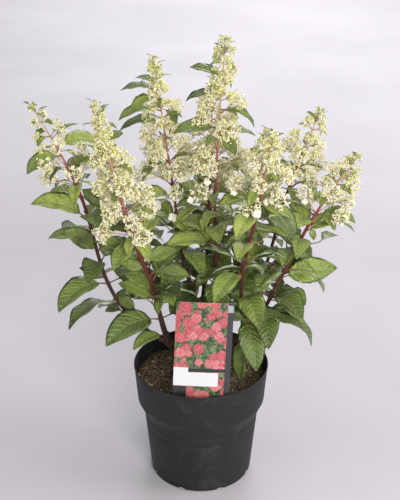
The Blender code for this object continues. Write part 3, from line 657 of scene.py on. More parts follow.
def bark():
    """Grey-brown old wood with long cracks."""
    finish = Finish("old_wood", Roughness=0.86, Specular_IOR_Level=0.3)
    long = finish.drawn_up(0.28)
    cracks = finish.cells(430.0, long, "DISTANCE_TO_EDGE").over(0.16, 0.02)
    tone = finish.cloud(190.0, 4.0, 0.65, long)
    body = finish.ramp(tone, (0.32, (52, 36, 30)), (0.52, (88, 66, 54)), (0.72, (122, 98, 82)))
    finish.feed(Base_Color=finish.mix(cracks * 0.7, body, (34, 24, 21)))
    fine = finish.bump(tone, 0.0012, 0.8)
    finish.feed(Normal=finish.bump(1.0 - cracks, 0.0007, 0.8, fine))
    return finish.material


def cane_skin():
    """Cane skin: maroon brown on the ripe wood, brick red under the blossom and pink in the cone."""
    finish = Finish("cane_skin", Specular_IOR_Level=0.4)
    age = finish.node("Attribute", {"attribute_name": "age"}, {}, "Fac")
    patches = finish.cloud(90.0, 4.0)
    ripe = finish.ramp(
        age + 0.10 * patches - 0.05,
        (0.00, (54, 38, 31)), (0.26, (76, 40, 32)), (0.54, (112, 46, 42)), (0.62, (146, 62, 58)),
        (0.70, (170, 92, 84)), (0.82, (196, 148, 124)), (1.00, (196, 190, 124)),
    )
    pores = finish.cells(330.0).over(0.20, 0.09) * (1.0 - age.over(0.55, 0.75))
    tinted = finish.mix(patches.over(0.50, 0.75) * 0.25, ripe, (112, 78, 66))
    finish.feed(Base_Color=finish.mix(pores * 0.65, tinted, (168, 138, 116)))
    finish.feed(Roughness=0.46 + 0.2 * patches)
    lines = finish.cloud(900.0, 2.0, 0.5, finish.drawn_up(0.12))
    finish.feed(Normal=finish.bump(lines + pores, 0.00035, 0.7))
    return finish.material


def leaf_skin(name, shade, tone, vein):
    """The upper side of a leaf: quilted between sunken veins that run forward from the midrib."""
    finish = Finish(name, Specular_IOR_Level=0.6, Coat_Weight=0.42, Coat_Roughness=0.27)
    along, across_it = finish.grain()
    away = across_it.size()
    wander = finish.cloud(110.0, 2.0)
    midrib = away.over(0.075, 0.015)
    laterals = (along * VEINS + 0.5 * wander).bands().over(0.74, 0.97) * away.over(1.0, 0.84)
    rungs = (away * RUNGS + 1.8 * wander).bands()
    net = laterals.or_more(0.60 * rungs.over(0.45, 0.95))
    cushions = (1.0 - net) * away.over(1.0, 0.85)
    mottle = finish.cloud(240.0, 3.0, 0.6)
    drift = finish.cloud(34.0, 2.0).over(0.34, 0.66)
    body = finish.mix(0.45 * mottle.over(0.38, 0.62) + 0.55 * drift, shade, tone)
    meshed = finish.mix(net * 0.74, body, vein)
    edged = finish.mix(away.over(0.90, 1.0) * 0.30, meshed, shade)
    finish.feed(Base_Color=finish.mix(midrib * 0.45, edged, (186, 198, 124)))
    finish.feed(Roughness=0.20 + 0.30 * mottle)
    puckered = finish.bump(mottle, 0.0016, 0.9)
    finish.feed(Normal=finish.bump(cushions - 0.7 * midrib, 0.0026, 0.90, puckered))
    return finish.material


def leaf_underside():
    """The pale matte underside, with its ribs standing proud."""
    finish = Finish("leaf_underside", Roughness=0.66, Specular_IOR_Level=0.3)
    along, across_it = finish.grain()
    ribs = across_it.size().over(0.08, 0.02).or_more((along * VEINS).bands().over(0.78, 0.96))
    mottle = finish.cloud(260.0, 4.0)
    body = finish.mix(mottle.over(0.34, 0.66), (150, 168, 120), (178, 192, 150))
    finish.feed(Base_Color=finish.mix(ribs * 0.60, body, (206, 212, 174)))
    finish.feed(Normal=finish.bump(ribs, 0.0009, 0.8))
    return finish.material


def petal(name, shade, tone):
    """A bud's or floret's skin, uneven from one to the next."""
    return mottled(
        name, shade, tone, (230.0, 2.0), (0.36, 0.64), (1500.0, 2.0), 0.0003, 0.6,
        Roughness=0.58, Specular_IOR_Level=0.35,
    )


# Small shapes and how they are gathered


class Shape:
    """A small shape read once from a bmesh: its points, faces, map and finish numbers."""

    def __init__(self, bm):
        bm.verts.index_update()
        grain = bm.loops.layers.uv.get("grain")
        corners = [loop for face in bm.faces for loop in face.loops]
        self.points = np.array([vert.co for vert in bm.verts])
        self.corners = np.array([loop.vert.index for loop in corners])
        self.sides = np.array([len(face.verts) for face in bm.faces])
        self.finishes = np.array([face.material_index for face in bm.faces])
        self.grain = np.array([loop[grain].uv if grain else (0.0, 0.0) for loop in corners])
        bm.free()


class Gathering:
    """Placed copies of small shapes, joined into one mesh."""

    def __init__(self):
        self.count = 0
        self.points, self.corners, self.sides, self.finishes, self.grain, self.ages = ([] for _ in range(6))

    def add(self, shape, points, finishes=(0,), age=0.0):
        """Adds one copy, whose points are given. The finishes are numbers in the piece's own list."""
        self.add_many(shape, points[None], np.array([finishes]), age)

    def add_many(self, shape, points, finishes, age=0.0):
        """Adds copies whose points are a stack of arrays, and whose finishes are a row for each copy."""
        copies, size = points.shape[:2]
        starts = self.count + size * np.arange(copies)[:, None]
        self.points.append(points.reshape(-1, 3))
        self.corners.append((starts + shape.corners[None]).ravel())
        self.sides.append(np.tile(shape.sides, copies))
        self.finishes.append(finishes[:, shape.finishes].ravel())
        self.grain.append(np.tile(shape.grain, (copies, 1)))
        self.ages.append(np.broadcast_to(age, (copies, size)).ravel())
        self.count += copies * size

    def piece(self, name, finishes):
        """The joined mesh as an object."""
        mesh = bpy.data.meshes.new(name)
        corners = np.concatenate(self.corners)
        sides = np.concatenate(self.sides)
        mesh.vertices.add(self.count)
        mesh.loops.add(len(corners))
        mesh.polygons.add(len(sides))

        def fill(target, key, values, kind=np.float32):
            target.foreach_set(key, values.astype(kind).ravel())

        fill(mesh.vertices, "co", np.concatenate(self.points))
        fill(mesh.loops, "vertex_index", corners, np.int32)
        fill(mesh.polygons, "loop_start", np.cumsum(sides) - sides, np.int32)
        fill(mesh.polygons, "material_index", np.concatenate(self.finishes), np.int32)
        mesh.update(calc_edges=True)
        fill(mesh.uv_layers.new(name="grain").data, "uv", np.concatenate(self.grain))
        fill(mesh.attributes.new("age", "FLOAT", "POINT").data, "value", np.concatenate(self.ages))
        mesh.shade_smooth()
        return linked(name, mesh, finishes)


def linked(name, mesh, finishes):
    """A mesh as an object in the scene with its finishes."""
    for finish in finishes:
        mesh.materials.append(finish)
    obj = bpy.data.objects.new(name, mesh)
    bpy.context.scene.collection.objects.link(obj)
    return obj


def finished(bm, name, finishes, sharp=None):
    """A bmesh as a smooth-shaded object. Edges over the sharp angle stay crisp."""
    mesh = bpy.data.meshes.new(name)
    bm.to_mesh(mesh)
    bm.free()
    mesh.shade_smooth()
    if sharp is not None:
        mesh.set_sharp_from_angle(angle=math.radians(sharp))
    return linked(name, mesh, finishes)


def settle(piece, slot, *nodes):
    """Makes a piece part of the plant, in the place of its solids."""
    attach(piece, "root")
    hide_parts(*nodes)


def applied(obj):
    """Gives the object the mesh that its modifiers make."""
    graph = bpy.context.evaluated_depsgraph_get()
    mesh = bpy.data.meshes.new_from_object(obj.evaluated_get(graph))
    old = obj.data
    obj.modifiers.clear()
    obj.data = mesh
    bpy.data.meshes.remove(old)


def rod_shape(sides, rings):
    """A closed rod of radius 1 from height 0 to height 1."""
    bm = bmesh.new()
    ring = bmesh.ops.create_circle(bm, cap_ends=True, radius=1.0, segments=sides)["verts"]
    edges = list({edge for vert in ring for edge in vert.link_edges})
    for _ in range(rings - 1):
        made = bmesh.ops.extrude_edge_only(bm, edges=edges)["geom"]
        ring = [part for part in made if isinstance(part, bmesh.types.BMVert)]
        edges = [part for part in made if isinstance(part, bmesh.types.BMEdge)]
        bmesh.ops.translate(bm, verts=ring, vec=(0.0, 0.0, 1.0 / (rings - 1)))
    bmesh.ops.contextual_create(bm, geom=edges)
    bmesh.ops.recalc_face_normals(bm, faces=bm.faces)
    return Shape(bm)


def lain(width, length, drop=0.0):
    """Lays a square of half-width 1 from 0 to a length along +Y, with a half-width across it."""
    half = length / 2
    return Matrix.Translation((0.0, half, -drop)) @ Matrix.Diagonal((width, half, 1.0, 1.0))


def blade_shape(vein_rows, columns, relief):
    """A leaf blade laid flat, from -1 to 1 across it and from 0 to 1 along it. Its rows slant forward with
    its veins, which are sunk between cushions. Its margin is toothed, and its underside is smoother."""
    rows = VEINS * vein_rows
    bm = bmesh.new()
    grain = bm.loops.layers.uv.new("grain")
    bmesh.ops.create_grid(bm, x_segments=columns, y_segments=rows, size=1.0, matrix=lain(1.0, 1.0))
    top = set(bm.faces)
    flat = lain(1.0, 1.0, LEAF_BODY)
    bmesh.ops.create_grid(bm, x_segments=columns // 2, y_segments=rows, size=1.0, matrix=flat)
    under = [face for face in bm.faces if face not in top]
    bmesh.ops.reverse_faces(bm, faces=under)
    for face in under:
        face.material_index = 1
    for face in bm.faces:
        for loop in face.loops:
            loop[grain].uv = (loop.vert.co.y, loop.vert.co.x)
    for vert in bm.verts:
        across_it, along = vert.co.x, vert.co.y
        away = abs(across_it)
        row = round(along * rows)
        forward = VEIN_SLANT * away * min(along * 5.0, 1.0) * (1.0 - along)
        upper = vert.co.z > -LEAF_BODY / 2
        if away < 0.99:
            swell = relief * math.sin(math.pi * along) ** 0.5 * (1.0 - away ** 3)
            cushion = math.cos(math.tau * row / vein_rows)
            sunk = 0.5 * cushion if away > 0.05 else 0.9
            vert.co.z -= swell * (sunk if upper else 0.9)
        else:
            vert.co.z = 0.0
            vert.co.x *= 1.0 + (TOOTH if row % 2 else -TOOTH * 0.4)
            forward += TOOTH * 0.12 if row % 2 else 0.0
        vert.co.y = min(along + forward, 1.0)
    bmesh.ops.remove_doubles(bm, verts=bm.verts, dist=1e-5)
    return Shape(bm)


def bud_shape():
    """A round closed bud."""
    bm = bmesh.new()
    bmesh.ops.create_icosphere(bm, subdivisions=1, radius=1.0)
    return Shape(bm)


def star_shape():
    """A small open fertile floret: five petals round a raised eye."""
    bm = bmesh.new()
    bmesh.ops.create_cone(bm, cap_ends=True, segments=10, radius1=1.25, radius2=0.0, depth=0.8)
    rim = [vert for vert in bm.verts if vert.co.to_2d().length > 0.5]
    for vert in rim[1::2]:
        vert.co.x *= 0.42
        vert.co.y *= 0.42
        vert.co.z += 0.25
    return Shape(bm)


def sepal_shape():
    """One broad cupped sepal of a sterile floret, lying along +Y from the centre."""
    bm = bmesh.new()
    bmesh.ops.create_grid(bm, x_segments=4, y_segments=5, size=1.0, matrix=lain(1.0, 1.0))
    bmesh.ops.solidify(bm, geom=bm.faces[:], thickness=0.05)
    for vert in bm.verts:
        across_it, along = vert.co.x, vert.co.y
        wide = 0.14 + 0.42 * math.sin(math.pi * min(along * 0.86 + 0.07, 1.0)) ** 0.8
        vert.co.x = across_it * wide
        vert.co.z += 0.30 * along ** 2 + 0.25 * (across_it * wide) ** 2
    bmesh.ops.recalc_face_normals(bm, faces=bm.faces)
    return Shape(bm)


def placed(shape, matrix):
    """A shape's points under a transform."""
    turn = np.array(matrix)
    return shape.points @ turn[:3, :3].T + turn[:3, 3]


def along_path(shape, path, start, end, radius_at):
    """A rod's points bent along a stretch of a path. Its height runs from the start to the end."""
    heights = np.round(shape.points[:, 2], 6)
    points = np.empty_like(shape.points)
    for height in np.unique(heights):
        s = start + (end - start) * height
        tangent = path.tangent(s)
        side = across(tangent, 0.0)
        other = tangent.cross(side)
        ring = heights == height
        flat = shape.points[ring, :2] * radius_at(s)
        points[ring] = np.array(path.at(s)) + flat[:, :1] * np.array(side) + flat[:, 1:] * np.array(other)
    return points


def stick(rod, first, last, radii):
    """A rod's points as a straight tapering stick between two points."""
    line = last - first
    turn = np.array(line.to_track_quat("Z", "Y").to_matrix())
    thick = between(radii, rod.points[:, 2:])
    local = np.hstack([rod.points[:, :2] * thick, rod.points[:, 2:] * line.length])
    return local @ turn.T + np.array(first)


def between(ends, share):
    """A value part of the way from the first of two ends to the second."""
    return ends[0] + (ends[1] - ends[0]) * share


# How the plant grows, as in the part's source


def polar(bearing, reach, height):
    """A point given by its bearing in degrees and its reach from the pot's axis."""
    angle = math.radians(bearing)
    return Vector((reach * math.cos(angle), reach * math.sin(angle), height))


def heading(bearing, elevation):
    """A unit vector given by its bearing and elevation in degrees."""
    rise = math.radians(elevation)
    return polar(bearing, math.cos(rise), math.sin(rise))


class Path:
    """A smooth centreline through knots, measured along its length."""

    def __init__(self, knots, start, resolution=24):
        tangents = [start.normalized()]
        for before, after in zip(knots, knots[2:]):
            tangents.append((after - before).normalized())
        last = (knots[-1] - knots[-2]).normalized()
        tangents.append((2.0 * last - tangents[-1]).normalized())
        self.points = [knots[0]]
        for i in range(len(knots) - 1):
            third = (knots[i + 1] - knots[i]).length / 3.0
            handle = knots[i] + tangents[i] * third
            other = knots[i + 1] - tangents[i + 1] * third
            run = interpolate_bezier(knots[i], handle, other, knots[i + 1], resolution)
            self.points.extend(Vector(point) for point in run[1:])
        self.lengths = [0.0]
        for a, b in zip(self.points, self.points[1:]):
            self.lengths.append(self.lengths[-1] + (b - a).length)
        self.length = self.lengths[-1]

    def at(self, s):
        """The point at a distance along the path."""
        s = min(max(s, 0.0), self.length)
        i = 1
        while self.lengths[i] < s and i < len(self.points) - 1:
            i += 1
        share = (s - self.lengths[i - 1]) / (self.lengths[i] - self.lengths[i - 1])
        return self.points[i - 1].lerp(self.points[i], share)

    def tangent(self, s, reach=0.006):
        """The smoothed direction at a distance along the path."""
        return (self.at(s + reach) - self.at(s - reach)).normalized()

    def nearest(self, knot):
        """The distance along the path of its closest point to a knot."""
        best = min(range(len(self.points)), key=lambda i: (self.points[i] - knot).length)
        return self.lengths[best]


def limb_path(limb):
    """The centreline of a limb of old wood, from inside the stump to its fork."""
    foot = UP * (SOIL_HEIGHT + STUMP_HEIGHT * LIMB_FOOT_SHARE)
    fork = polar(limb.bearing, limb.reach, limb.height)
    middle = foot.lerp(fork, 0.5)
    middle.z -= LIMB_SAG_SHARE * (fork - foot).length
    return Path([foot, middle, fork], heading(limb.bearing, limb.spring), WOOD_STEPS)


def cane_path(cane):
    """The centreline of a cane from its fork to the tip of its blossom."""
    limb = next(limb for limb in LIMBS if limb.name == cane.limb)
    foot = polar(limb.bearing, limb.reach, limb.height)
    knots = [foot, *(polar(cane.bearing, *place) for place in (cane.knee, cane.neck, cane.tip))]
    outward = knots[1] - foot
    bearing = math.degrees(math.atan2(outward.y, outward.x))
    return Path(knots, heading(bearing, cane.spring))


class Growth:
    """One cane measured out: its path, its splits and its radius."""

    def __init__(self, cane):
        self.cane = cane
        self.path = cane_path(cane)
        self.neck = self.path.nearest(polar(cane.bearing, *cane.neck))
        self.cone = self.path.length - self.neck
        self.leafy = STUB_LENGTH + (self.neck - STUB_LENGTH) * cane.first_pair

    def radius(self, s):
        """The cane's radius at a distance along its path."""
        if s < self.neck:
            return between(CANE_RADIUS, s / self.neck) * self.cane.stout
        return between(CONE_RADIUS, (s - self.neck) / self.cone) * self.cane.stout

    def pair_places(self):
        """How far along the cane its leaf pairs stand."""
        ends = (self.leafy + BARE_FOOT, self.neck - BARE_NECK)
        return [between(ends, i / (self.cane.pairs - 1)) for i in range(self.cane.pairs)]

    def tier_places(self):
        """How far along the cane the tiers of its cone stand, each with its share of the cone."""
        tiers = self.cane.tiers
        span = self.cone - FIRST_TIER - BARE_TIP
        shares = [1.0 - (1.0 - i / tiers) ** TIER_CROWDING for i in range(tiers)]
        return [(self.neck + FIRST_TIER + span * share, share) for share in shares]


class Leaf(NamedTuple):
    """A leaf by its root, its azimuth, lift, droop and roll, and its sizes."""

    root: Vector
    azimuth: float
    lift: float
    droop: float
    roll: float
    length: float
    width: float
    petiole: float


class Cluster(NamedTuple):
    """A cluster of blossom on its side twig."""

    root: Vector
    heart: Vector
    radius: float
    share: float


def across(tangent, angle):
    """A unit vector square to a tangent, at an angle round it."""
    flat = tangent.cross(Vector((0.0, 1.0, 0.0))).normalized()
    return Matrix.Rotation(angle, 3, tangent) @ flat


def leaf_pair(growth, s, turn, length, slenderness, rng, settings=(None, None)):
    """The two opposite leaves wanted at a distance along a cane, each by its own settings if it has any."""
    path = growth.path
    tangent = path.tangent(s)
    pair = []
    for half, setting in enumerate(settings):
        side = across(tangent, turn + math.pi * half)
        azimuth = math.atan2(side.y, side.x) + rng.uniform(-LEAF_STRAY, LEAF_STRAY)
        lift = math.radians(rng.uniform(*LEAF_LIFT)) + math.asin(max(min(side.z, 1.0), -1.0)) * 0.5
        droop = math.radians(rng.uniform(*LEAF_DROOP))
        size = length * rng.uniform(*LEAF_SPREAD)
        if setting:
            azimuth, lift, droop = (math.radians(angle) for angle in setting[:3])
            size = length * setting[3]
            side = heading(setting[0], 0.0)
        pair.append(
            Leaf(
                root=path.at(s) + side * growth.radius(s) * LEAF_SUNK,
                azimuth=azimuth,
                lift=lift,
                droop=droop,
                roll=rng.uniform(-LEAF_ROLL, LEAF_ROLL),
                length=size,
                width=size * slenderness,
                petiole=size * PETIOLE_SHARE + growth.radius(s),
            )
        )
    return pair


def turned_aside(leaf, number):
    """A leaf as it settles beside its neighbours."""
    yaw, pitch, share = LEAF_TRIES[number]
    return leaf._replace(
        azimuth=leaf.azimuth + math.radians(yaw),
        lift=leaf.lift + math.radians(pitch),
        length=leaf.length * share,
        width=leaf.width * share,
    )


def grow_leaves(growth):
    """The large leaves of one leafy shoot: pairs that turn a quarter from one to the next."""
    cane = growth.cane
    rng = random.Random("leaves " + cane.name)
    turns = iter(LEAF_TURNS[cane.name])
    rolls = SET_ROLLS.get(cane.name, {})
    leaves = []
    for i, s in enumerate(growth.pair_places()):
        share = i / (cane.pairs - 1)
        length = between(LEAF_LENGTH, share)
        turn = math.radians(cane.turn + 90.0 * i)
        settings = SET_PAIRS.get(cane.name, {}).get(i, (None, None))
        if len(settings) == 1:
            settings += (((settings[0][0] + 180) % 360, *OPPOSITE),)
        for wanted in leaf_pair(growth, s, turn, length, LEAF_SLENDERNESS, rng, settings):
            number = next(turns)
            if number != "-":
                leaf = turned_aside(wanted, int(number))
                if len(leaves) in rolls:
                    leaf = leaf._replace(roll=math.radians(rolls[len(leaves)]))
                leaves.append((leaf, share))
    return leaves


def grow_bracts(growth):
    """The small leaves under the lowest tiers of a cone."""
    cane = growth.cane
    rng = random.Random("bracts " + cane.name)
    leaves = []
    for tier, (s, _) in enumerate(growth.tier_places()[:BRACT_TIERS]):
        length = between(BRACT_LENGTH, tier)
        turn = math.radians(cane.turn + 90.0 * (cane.pairs + tier))
        leaves.extend(leaf_pair(growth, s - BRACT_LEAD, turn, length, BRACT_SLENDERNESS, rng))
    return leaves


def cone_width(share):
    """How far the twigs of a cone spread at a share of its height."""
    return CONE_HALF_WIDTH * (1.0 - share) ** CONE_TAPER + CONE_TIP_WIDTH


def grow_clusters(growth):
    """The clusters of one cone: tiers of side twigs that shorten towards the tip."""
    cane = growth.cane
    path = growth.path
    rng = random.Random("blossom " + cane.name)
    clusters = []
    number = 0
    for tier, (s, share) in enumerate(growth.tier_places()):
        tangent = path.tangent(s)
        size = between(CLUSTER_RADIUS, share)
        spread = cone_width(share)
        twigs = TIER_TWIGS if tier < HIGH_TIERS_FROM else HIGH_TIER_TWIGS
        for twig in range(twigs):
            turn = tier * TIER_TURN + math.tau * twig / twigs + rng.uniform(-TWIG_STRAY, TWIG_STRAY)
            rise = spread * rng.uniform(*TWIG_RISE)
            reach = spread * rng.uniform(*TWIG_REACH)
            side = across(tangent, turn)
            root = path.at(s) + side * growth.radius(s) * TWIG_SUNK
            heart = path.at(s) + side * reach + tangent * rise
            cluster = Cluster(root, heart, size * rng.uniform(*CLUSTER_SPREAD), share)
            if CROWDED_OUT.get(cane.name) != number:
                clusters.append(cluster)
            number += 1
    radius = CLUSTER_RADIUS[1]
    top = path.length - radius / 3
    clusters.append(Cluster(path.at(top - radius), path.at(top), radius, 1.0))
    return clusters


# The pieces


def turned(profile, steps):
    """A closed shell turned about Z from a profile of radii and heights that starts and ends on the axis."""
    bm = bmesh.new()
    verts = [bm.verts.new((radius, 0.0, height)) for radius, height in profile]
    edges = [bm.edges.new(pair) for pair in zip(verts, verts[1:])]
    bmesh.ops.spin(
        bm, geom=verts + edges, cent=(0, 0, 0), axis=(0, 0, 1), dvec=(0, 0, 0),
        angle=math.tau, steps=steps, use_merge=True, use_duplicate=False,
    )
    bmesh.ops.remove_doubles(bm, verts=bm.verts, dist=1e-5)
    bmesh.ops.recalc_face_normals(bm, faces=bm.faces)
    return bm


def bevel(bm, parts, width, segments, affect="EDGES"):
    """Rounds off edges or corners."""
    bmesh.ops.bevel(bm, geom=parts, offset=width, affect=affect, segments=segments, profile=0.5, material=-1)


def beside(radius, height, *steps):
    """Places on a profile by their steps out and up from a place, in tenths of a millimetre."""
    return [(radius + out / 1e4, height + up / 1e4) for out, up in steps]


def wall_radius(height):
    """The pot's outer radius at a height."""
    stations = (
        (0.0, BASE_RADIUS),
        (SHOULDER_FOOT, BODY_TOP_RADIUS),
        (COLLAR_FOOT, COLLAR_FOOT_RADIUS),
        (POT_HEIGHT, RIM_RADIUS),
    )
    for (low, narrow), (high, wide) in zip(stations, stations[1:]):
        if height <= high:
            return between((narrow, wide), (height - low) / (high - low))
    return RIM_RADIUS


def make_pot():
    """The nursery pot: rolled lip, tall collar, sloping shoulder, moulding lines and drain notches."""
    profile = beside(0.0, FLOOR_THICKNESS, (0, 0), (600, 0), (800, 4))
    profile += beside(BASE_RADIUS - WALL, FLOOR_THICKNESS, (-4, 45))
    inside = (0.03, 0.06, 0.09, SHOULDER_FOOT, COLLAR_FOOT + 0.001, 0.16, 0.18, 0.195, POT_HEIGHT - 0.003)
    profile += [(wall_radius(z) - WALL, z) for z in inside]
    profile += beside(RIM_RADIUS - WALL, POT_HEIGHT, (0, -9), (4, -2))
    lip = ((-9, 0), (-3, -3), (0, -10), (0, -36), (-4, -43), (-12, -48))
    profile += beside(RIM_RADIUS, POT_HEIGHT, *lip)
    profile += [(wall_radius(z) - 0.0002, z) for z in (0.203, 0.196, 0.185, 0.172, 0.160, 0.150)]
    profile += beside(COLLAR_FOOT_RADIUS, COLLAR_FOOT, (0, 24), (-4, 6), (-18, -16))
    profile += [(0.1045, 0.1335)]
    profile += beside(BODY_TOP_RADIUS, SHOULDER_FOOT, (12, 22), (0, -12), (-4, -40))
    for line in MOULDING_LINES:
        profile += beside(wall_radius(line), line, (0, 9), (-4, 0), (0, -9))
    profile += [(wall_radius(z), z) for z in (0.085, 0.065, 0.045, 0.025, 0.0130)]
    profile += beside(BASE_RADIUS, 0.0, (4, 80), (0, 30), (-8, 10), (-22, 0), (-85, 0), (-105, 14))
    profile += [(0.0, 0.0014)]
    pot = finished(turned(profile, POT_STEPS), "pot_shell", [])
    cutter = bmesh.new()
    for i in range(DRAIN_NOTCHES):
        turn = Matrix.Rotation(math.tau * (i + 0.5) / DRAIN_NOTCHES, 4, "Z")
        notch = Matrix.Translation((BASE_RADIUS, 0.0, 0.0)) @ Matrix.Diagonal(NOTCH_SIZE)
        bmesh.ops.create_cube(cutter, size=1.0, matrix=turn @ notch)
    arches = [edge for edge in cutter.edges if min(vert.co.z for vert in edge.verts) > 0.005]
    bevel(cutter, arches, 0.0025, 3)
    notches = finished(cutter, "notches", [])
    cut = pot.modifiers.new("drain notches", "BOOLEAN")
    cut.solver = "EXACT"
    cut.object = notches
    applied(pot)
    bpy.data.objects.remove(notches)
    pot.data.set_sharp_from_angle(angle=math.radians(50))
    pot.data.materials.append(pot_plastic())
    settle(pot, "pot", "pot")


def soil_height(x, y):
    """The height of the crumbly soil at a place."""
    edge = max(0.0, (math.hypot(x, y) - SOIL_FLAT) / SOIL_FALL)
    lumps = SOIL_LUMP * noise.fractal(Vector((x, y, 0.0)) * 62.0, 0.7, 2.2, 4)
    return SOIL_HEIGHT - SOIL_SETTLED - SOIL_EDGE_DROP * min(edge, 1.0) ** 1.3 + lumps


def make_soil():
    """The root ball: a turned plug with a crumbly top."""
    gap = WALL + SOIL_CLEARANCE
    bed = FLOOR_THICKNESS + SOIL_CLEARANCE
    rim = wall_radius(SOIL_HEIGHT - SOIL_EDGE_DROP) - gap
    profile = [(rim * i / SOIL_RINGS, SOIL_HEIGHT) for i in range(SOIL_RINGS + 1)]
    profile += [(COLLAR_FOOT_RADIUS - gap, COLLAR_FOOT + WALL), (BODY_TOP_RADIUS - gap, SHOULDER_FOOT)]
    profile += [(BASE_RADIUS - WALL - 0.005, bed), (0.0, bed)]
    bm = turned(profile, SOIL_STEPS)
    for vert in bm.verts:
        if vert.co.z > SOIL_HEIGHT - 1e-4:
            vert.co.z = soil_height(vert.co.x, vert.co.y)
    settle(finished(bm, "soil_ball", [potting_soil()]), "soil", "soil")


def make_crumbs():
    """Loose crumbs, fibres, bark chips and pumice on the soil."""
    rng = random.Random("crumbs")
    lumps = []
    for _ in range(4):
        bm = bmesh.new()
        bmesh.ops.create_icosphere(bm, subdivisions=1, radius=1.0)
        for vert in bm.verts:
            vert.co *= rng.uniform(0.70, 1.15)
        lumps.append(Shape(bm))
    bm = bmesh.new()
    bmesh.ops.create_cube(bm, size=2.0)
    bevel(bm, bm.edges[:], 0.35, 1)
    chip = Shape(bm)
    crumbs = Gathering()
    rim = wall_radius(SOIL_HEIGHT - SOIL_EDGE_DROP) - WALL - 0.004

    def scatter(count, shapes, scale, tones):
        for _ in range(count):
            reach = rim * math.sqrt(rng.random())
            angle = rng.uniform(0.0, math.tau)
            x, y = reach * math.cos(angle), reach * math.sin(angle)
            size = Vector(scale())
            lift = soil_height(x, y) + 0.35 * min(size)
            spin = Matrix.Rotation(rng.uniform(0.0, 6.3), 4, "Z")
            tip = Matrix.Rotation(rng.uniform(-0.5, 0.5), 4, "X")
            place = Matrix.Translation((x, y, lift)) @ (spin @ tip) @ Matrix.Diagonal((*size, 1.0))
            shape = rng.choice(shapes)
            crumbs.add(shape, placed(shape, place), (rng.choice(tones),))

    def grain_size():
        size = rng.uniform(0.0007, 0.0021) * rng.choice((0.8, 1.0, 1.0, 1.5))
        return (size, size * rng.uniform(0.7, 1.2), size * 0.8)

    # Crumbs, fibres, bark chips and pumice
    scatter(1500, lumps, grain_size, (0, 0, 0, 1, 1, 2))
    scatter(70, [chip], lambda: (rng.uniform(0.003, 0.007), 0.0006, 0.0005), (1, 2))
    scatter(26, [chip], lambda: (rng.uniform(0.003, 0.006), rng.uniform(0.0015, 0.003), 0.0009), (2, 3))
    scatter(16, lumps, lambda: (rng.uniform(0.0010, 0.0019),) * 3, (4,))
    place = Matrix.Translation((*LARGE_CHIP, soil_height(*LARGE_CHIP) + 0.0030))
    turn = Matrix.Rotation(1.2, 4, "Z") @ Matrix.Rotation(0.9, 4, "Y")
    crumbs.add(chip, placed(chip, place @ turn @ Matrix.Diagonal((0.0085, 0.0036, 0.0013, 1.0))), (3,))
    finishes = [
        crumb("dark_crumb", (42, 33, 26), (72, 58, 46)),
        crumb("brown_crumb", (84, 67, 52), (122, 102, 78)),
        crumb("pale_fibre", (142, 120, 90), (180, 158, 122)),
        crumb("bark_chip", (120, 62, 36), (158, 92, 56)),
        crumb("pumice", (188, 184, 176), (222, 219, 212)),
    ]
    settle(crumbs.piece("soil_crumbs", finishes), "soil", "soil")


def label_print():
    """A generic garden picture: round coral blooms over leaves, a blank band and a plain dark margin."""
    gloss = {"Specular_IOR_Level": 0.5, "Coat_Weight": 0.25, "Coat_Roughness": 0.2}
    finish = Finish("label_print", Roughness=0.36, **gloss)
    across_it, up = finish.grain()
    spot = finish.node("CombineXYZ", {}, {0: across_it * CARD_WIDTH, 1: up * CARD_TALL})
    leaves = finish.cells(210.0, spot).over(0.2, 0.8)
    shadow = finish.cloud(70.0, 3.0, 0.6, spot).over(0.38, 0.62)
    green = finish.mix(leaves, (128, 152, 100), (50, 78, 46))
    green = finish.mix(shadow * 0.6, green, (34, 48, 34))
    heart = finish.cells(66.0, spot, stray=0.85)
    petals = finish.cells(430.0, spot)
    rings = (heart * 7.0 + 1.4 * petals).bands()
    tint = finish.cells(66.0, spot, output="Color", stray=0.85)
    pinks = finish.ramp(tint, (0.30, (178, 48, 64)), (0.55, (200, 80, 86)), (0.80, (216, 126, 130)))
    bloom = finish.mix(rings.over(0.25, 0.9) * 0.50, pinks, (240, 184, 182))
    bloom = finish.mix(petals.over(0.30, 0.75) * 0.40, bloom, (176, 40, 66))
    picture = finish.mix((heart + 0.16 * petals).over(0.72, 0.62), green, bloom)
    band = up.over(0.152, 0.156) * up.over(0.298, 0.294) * across_it.over(0.790, 0.785)
    step = up.over(0.290, 0.294) * up.over(0.344, 0.340) * across_it.over(0.260, 0.255)
    rule = up.over(0.300, 0.303) * up.over(0.338, 0.335) * across_it.over(0.265, 0.270)
    corner = up.over(0.150, 0.146) * across_it.over(0.240, 0.235)
    printed = finish.mix(band + step, picture, (232, 231, 234))
    printed = finish.mix(rule + corner, printed, (40, 44, 44))
    margin = across_it.over(0.897, 0.901)
    patch = margin * up.over(0.905, 0.915) * up.over(0.985, 0.975)
    dark = finish.mix(finish.cloud(300.0, 2.0, 0.5, spot), (46, 48, 51), (62, 64, 68))
    printed = finish.mix(margin, printed, dark)
    finish.feed(Base_Color=finish.mix(patch, printed, (176, 178, 180)))
    finish.feed(Normal=finish.bump(finish.cloud(140.0, 2.0), 0.0004, 0.25))
    return finish.material


def label_plastic():
    """The plain back and stake of the label."""
    finish = Finish("label_plastic", Roughness=0.45)
    haze = finish.cloud(60.0, 3.0)
    finish.feed(Base_Color=finish.mix(haze, (196, 197, 200), (218, 219, 221)))
    finish.feed(Normal=finish.bump(finish.cloud(500.0), 0.0002, 0.4))
    return finish.material


